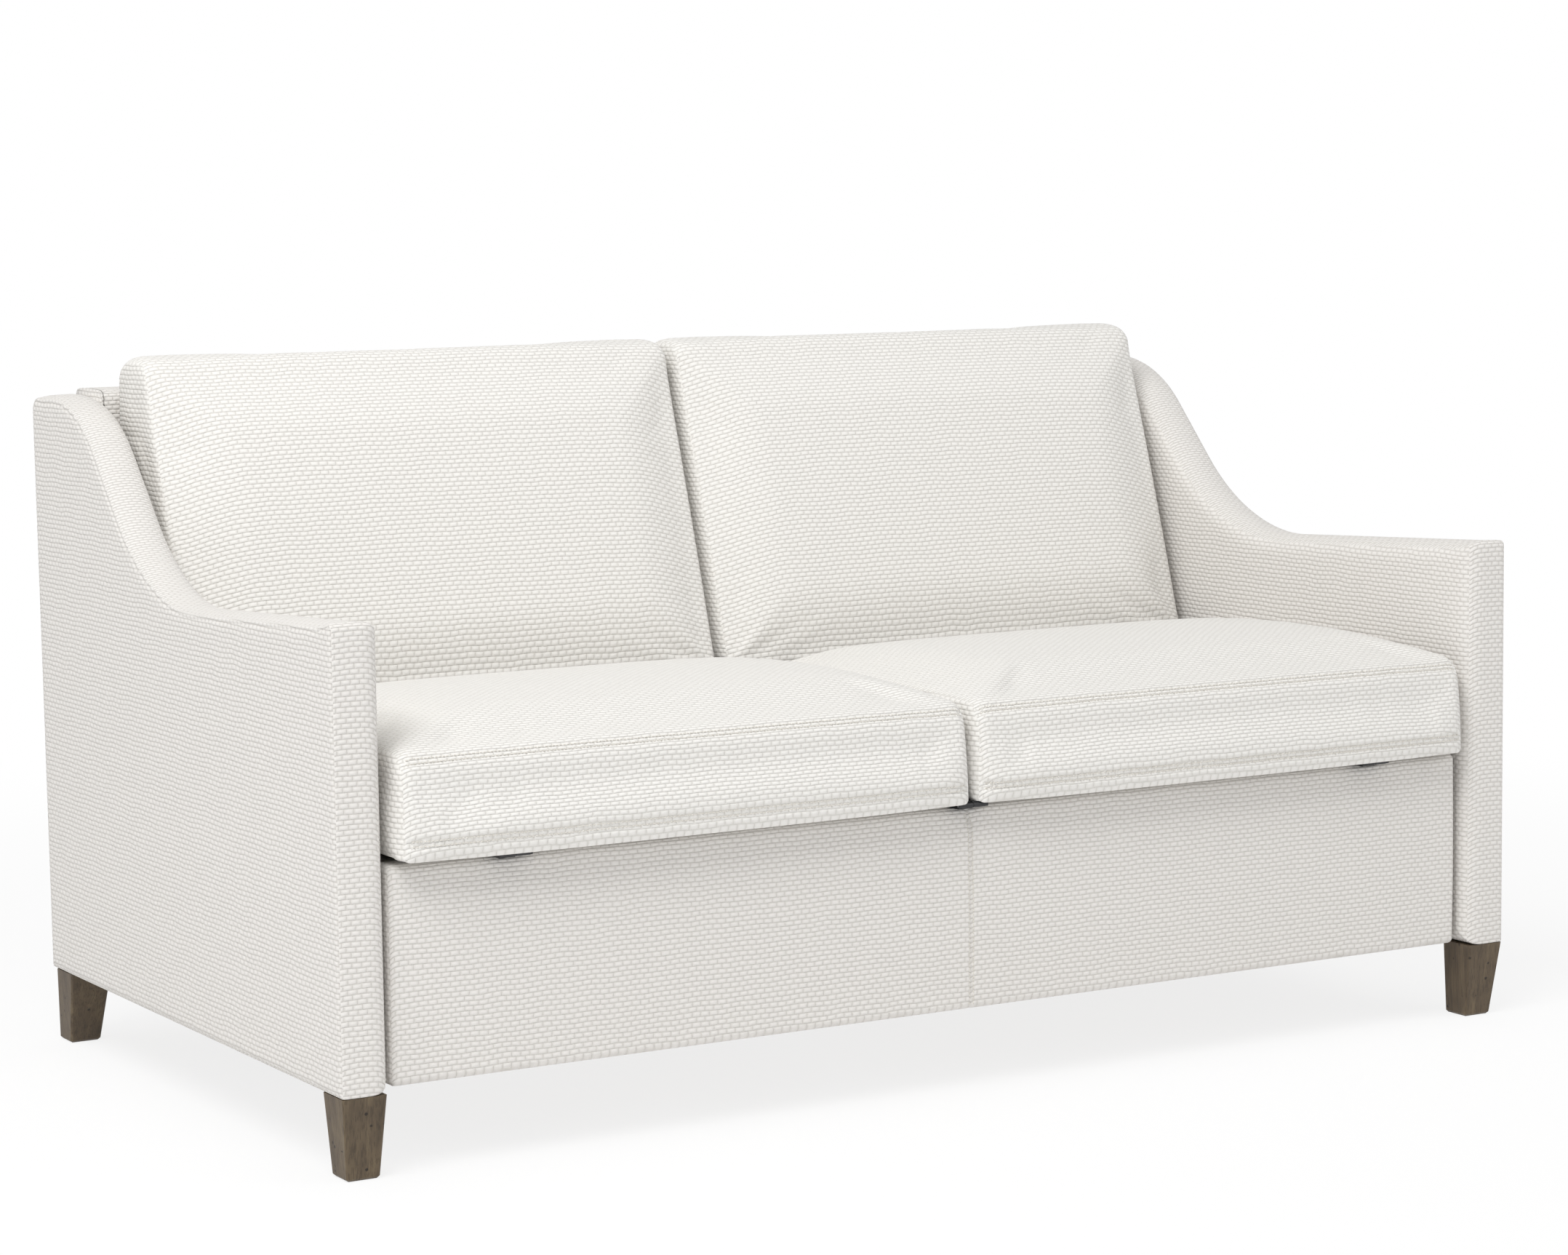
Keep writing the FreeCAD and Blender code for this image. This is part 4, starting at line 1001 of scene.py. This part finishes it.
def mattress(name, limits, flat_axis, body):
    """A quilted foam mattress section, with a taped edge round each face."""
    low, high = np.array(limits[0]), np.array(limits[1])
    order = [axis for axis in range(3) if axis != flat_axis] + [flat_axis]
    back = np.argsort(order)
    us, vs = [lines(low[axis] + 1.5, high[axis] - 1.5, 9.0, 14.0) for axis in order[:2]]
    drop = edge_drop(us, vs, MATTRESS_ROUND) + quilted(us, vs)
    near, far = low[flat_axis] + drop, high[flat_axis] - drop
    made = slab(
        name + "_mattress_pad", us, vs, near, far, (8, 1.2), lambda p: p[:, back],
        MATTRESS_PLAN_ROUND)
    lay_cloth(made)
    dress(made, TICKING, body, "mattress_ticking", name + "_mattress")
    path = plan_ring(us, vs, 1.0, MATTRESS_PLAN_ROUND)
    for word, height in (("low", low[flat_axis] + TAPE_IN), ("high", high[flat_axis] - TAPE_IN)):
        ring = np.column_stack([path, np.full(len(path), height)])[:, back]
        tape = swept_ring(name + "_mattress_tape_" + word, ring, TAPE_R)
        dress(tape, THREAD, body, "mattress_ticking")
    return made


# Seams and stitching

STITCH_PITCH = 4.6
STITCH_LONG = 3.3
STITCH_R = 0.65     # mm, its thickest radius
STITCH_SHAPE = ((0.0, 0.35), (0.25, 1.0), (0.75, 1.0), (1.0, 0.35))  # (share along it, size)
STITCH_SIDES = 5
STITCH_PROUD = 0.00015  # m
STITCH_SUNK = 0.0014    # m that the seat's stitches follow the drawn-in cloth
SEAM_PAIR = 3.0     # mm from a seam to the row of stitches each side of it
SEAM_DEEP = 3.0
SEAM_SOFT = 3.0     # mm, the width over which a seam draws the cloth in
SEAM_START = 12.0   # mm from a cushion's end to its first stitch
# The seat boxing's seams: (way the rays run, first ray's Y and Z, way to the second row)
SEAT_SEAMS = (
    ((0, 1, -1), (-152.0, 628.0), (-0.7, -0.7)),
    ((0, 1, 0), (-120.0, 384.0), (0.0, -1.0)),
)


def seam_line(obj, starts, heading):
    """Where rays sent along heading from each start meet the piece: (point, normal) rows."""
    tree = BVHTree.FromObject(obj, bpy.context.evaluated_depsgraph_get())
    found = []
    for spot in place(starts):
        hit, normal, _, _ = tree.ray_cast(Vector(spot), Vector(heading).normalized())
        if hit is not None:
            found.append((np.array(hit), np.array(normal)))
    return found


def draw_in(obj, line, depth, width):
    """Draws the cloth in along a seam. Depth and width in millimetres."""
    spots = vertices_of(obj)
    points = np.array([p for p, _ in line])
    normals = np.array([n for _, n in line])
    reach = 3.0 * width / 1000.0
    close = np.all((spots > points.min(0) - reach) & (spots < points.max(0) + reach), axis=1)
    for i in np.nonzero(close)[0]:
        gaps = np.linalg.norm(points - spots[i], axis=1)
        nearest = int(gaps.argmin())
        if gaps[nearest] < reach:
            fall = math.exp(-(gaps[nearest] * 1000.0 / width) ** 2)
            spots[i] -= normals[nearest] * depth * fall / 1000.0
    set_vertices(obj, spots)


def stitches(name, rows, body, slot_name):
    """Machine stitches along rows of (point, normal)."""
    points, faces = [], []
    for row in rows:
        for (spot, normal), (following, _) in zip(row, row[1:]):
            run = following - spot
            length = np.linalg.norm(run)
            if length * 1000.0 > 3.0 * STITCH_PITCH or length < 1e-5:
                continue
            run /= length
            side = np.cross(run, normal)
            first = len(points)
            for share, size in STITCH_SHAPE:
                middle = spot + run * STITCH_LONG * share / 1000.0 + normal * STITCH_PROUD
                for k in range(STITCH_SIDES):
                    angle = TAU * k / STITCH_SIDES
                    around = side * math.cos(angle) + normal * math.sin(angle)
                    points.append(middle + around * size * STITCH_R / 1000.0)
            count = len(STITCH_SHAPE)
            faces += [tuple(first + k for k in f) for f in ring_faces(count, STITCH_SIDES)]
    back_in_mm = np.array(points) * 1000.0 + (0.0, CENTRE_Y, 0.0)
    made = facing_out(mesh_object(name, back_in_mm, faces))
    return dress(made, THREAD, body, slot_name)


def seat_seams(cushion, side, name):
    """The boxing's two flat seams, each under a pair of stitch rows."""
    xs = np.arange(SEAT_SPLIT + SEAM_START, SEAT_HALF - SEAM_START, STITCH_PITCH) * side
    rows = []
    for heading, (y, z), along in SEAT_SEAMS:
        for offset in (0.0, 2.0 * SEAM_PAIR):
            spot = (y + along[0] * offset, z + along[1] * offset)
            starts = np.column_stack([xs, np.tile(spot, (len(xs), 1))])
            rows.append(seam_line(cushion, starts, heading))
    for row in rows:
        draw_in(cushion, row, SEAM_DEEP, SEAM_SOFT)
    sunk = [[(p - n * STITCH_SUNK, n) for p, n in row] for row in rows]
    return stitches("seat_cushion_stitching_" + name, sunk, "seat_section", "cushion_fabric")


def panel_seam(panel):
    """A row of stitches each side of the front panel's seam."""
    zs = np.arange(PANEL_Z[0] + 6.0, PANEL_Z[1] - 5.0, STITCH_PITCH)
    rows = []
    for offset in (-SEAM_PAIR, SEAM_PAIR):
        starts = np.column_stack([panel_seam_x(zs) + offset, np.full(len(zs), -60.0), zs])
        rows.append(seam_line(panel, starts, (0, 1, 0)))
    return stitches("front_panel_stitching", rows, "bed_carriage", "upholstery_fabric")


# Studio

CAMERA_PLACE = (-2.608, -4.483, 1.107)
CAMERA_YAW, CAMERA_PITCH, CAMERA_ROLL = (math.radians(a) for a in (30.27, 6.31, -0.74))
SENSOR = 36.0
CAMERA_LENS = SENSOR * 5472.0 / 2156.0  # a focal length of 5472 pixels on a frame 2156 wide
# (place in metres, power in watts)
LAMPS = {
    "key_lamp": ((-3.0, -2.2, 5.2), 230.0),
    "fill_lamp": ((3.5, -3.5, 3.2), 35.0),
}
LAMP_SIZE = 3.5
LAMP_AIM = (0.0, 0.0, 0.4)
AMBIENT = 0.5       # strength of the even light from all round
FLOOR_GLOW = 0.82   # share of the floor's look that is plain white
FLOOR_FADE = (1.2, 3.0)  # m from the middle, over which the floor turns all white


def make_camera():
    data = bpy.data.cameras.new("camera")
    data.sensor_width = SENSOR
    data.lens = CAMERA_LENS
    made = bpy.data.objects.new("camera", data)
    bpy.context.scene.collection.objects.link(made)
    forward = Vector((
        math.sin(CAMERA_YAW) * math.cos(CAMERA_PITCH),
        math.cos(CAMERA_YAW) * math.cos(CAMERA_PITCH), -math.sin(CAMERA_PITCH)))
    level = Vector((math.cos(CAMERA_YAW), -math.sin(CAMERA_YAW), 0.0))
    upright = level.cross(forward)
    right = math.cos(CAMERA_ROLL) * level + math.sin(CAMERA_ROLL) * upright
    up = -math.sin(CAMERA_ROLL) * level + math.cos(CAMERA_ROLL) * upright
    turn = Matrix((right, up, -forward)).transposed().to_4x4()
    made.matrix_world = Matrix.Translation(CAMERA_PLACE) @ turn
    bpy.context.scene.camera = made


def soft_lamp(name, place_at, power):
    data = bpy.data.lights.new(name, "AREA")
    data.shape = "DISK"
    data.size = LAMP_SIZE
    data.energy = power
    made = bpy.data.objects.new(name, data)
    bpy.context.scene.collection.objects.link(made)
    made.location = place_at
    aim = Vector(LAMP_AIM) - made.location
    made.rotation_euler = aim.to_track_quat("-Z", "Y").to_euler()


def seen_ray(tree):
    """1 where the eye looks, straight, in a reflection or through glass, and 0 for light."""
    seen = add(tree, "LightPath", out="Is Camera Ray")
    glossy = add(tree, "LightPath", out="Is Glossy Ray")
    through = add(tree, "LightPath", out="Is Transmission Ray")
    seen = add(tree, "Math", seen, glossy, operation="MAXIMUM")
    return add(tree, "Math", seen, through, operation="MAXIMUM")


def make_world():
    """White to the eye and in reflections, and a soft even light on the sofa."""
    world = bpy.data.worlds.new("studio")
    bpy.context.scene.world = world
    world.use_nodes = True
    tree = world.node_tree
    strength = add(tree, "MapRange", seen_ray(tree), 0.0, 1.0, AMBIENT, 1.0)
    background = tree.nodes["Background"]
    background.inputs["Color"].default_value = (1.0, 1.0, 1.0, 1.0)
    tree.links.new(strength, background.inputs["Strength"])


def make_floor():
    """A plain white floor that runs out into the white of the backdrop. To the eye it is
    lit nearly white, so the sofa's shadow on it stays faint."""
    bpy.ops.mesh.primitive_circle_add(vertices=96, radius=60.0, fill_type="NGON")
    floor = bpy.context.object
    floor.name = "floor"
    made, tree = begin("studio_floor")
    shader = tree.nodes["Principled BSDF"]
    shader.inputs["Base Color"].default_value = (0.94, 0.94, 0.94, 1.0)
    shader.inputs["Roughness"].default_value = 0.9
    shader.inputs["Specular IOR Level"].default_value = 0.1
    spot = add(tree, "TexCoord", out="Object")
    far = add(tree, "VectorMath", spot, operation="LENGTH", out="Value")
    fade = add(tree, "MapRange", far, *FLOOR_FADE, FLOOR_GLOW, 1.0, **SMOOTH)
    fade = add(tree, "Math", fade, seen_ray(tree), operation="MULTIPLY")
    glow = add(tree, "Emission", (1.0, 1.0, 1.0, 1.0), 1.0)
    mixed = add(tree, "MixShader", fade, shader.outputs[0], glow)
    tree.links.new(mixed, tree.nodes["Material Output"].inputs["Surface"])
    floor.data.materials.append(made)


def finish_cad_nodes():
    """The finish of each CAD piece that still shows, by its slot in the record."""
    slots = {part["node"]: part.get("material_slot") for part in frame["record"]["subparts"]}
    for name, obj in frame["nodes"].items():
        if not obj.hide_render:
            obj.data.materials.clear()
            obj.data.materials.append(CAD_FINISHES[slots[name]])


REST_FALL = (0.72, 0.82)  # cloth's run per step of Y and Z down the leaning front


def build_sofa():
    for name, side in SIDES.items():
        arm_upholstery(name, side)
        top_rail_end(name, side)
    panel = front_panel()
    panel_seam(panel)
    outside_back()
    top_rail_band()
    seat = {"right": seat_cushion_right()}
    seat["left"] = mirrored_copy(seat["right"], "seat_cushion_cloth_left")
    rest = {"right": back_cushion_right()}
    rest["left"] = mirrored_copy(rest["right"], "back_cushion_cloth_left")
    for name, side in SIDES.items():
        finer(seat[name])
        finer(rest[name])
        seat_seams(seat[name], side, name)
        lay_cloth(seat[name])
        dress(
            seat[name], CUSHION_CLOTH, "seat_section", "cushion_fabric", "seat_cushion_" + name)
        lay_cloth(rest[name], REST_FALL)
        body = "back_cushion_" + name
        dress(rest[name], CUSHION_CLOTH, body, "cushion_fabric", body)
    mattress("centre", CENTRE_MATTRESS, 2, "bed_carriage")
    mattress("foot", FOOT_MATTRESS, 2, "seat_section")
    mattress("head", HEAD_MATTRESS, 1, "head_section")
    finish_cad_nodes()


build_sofa()
bpy.context.scene.view_settings.view_transform = "Standard"
make_world()
make_floor()
for lamp, (lamp_place, lamp_power) in LAMPS.items():
    soft_lamp(lamp, lamp_place, lamp_power)
make_camera()
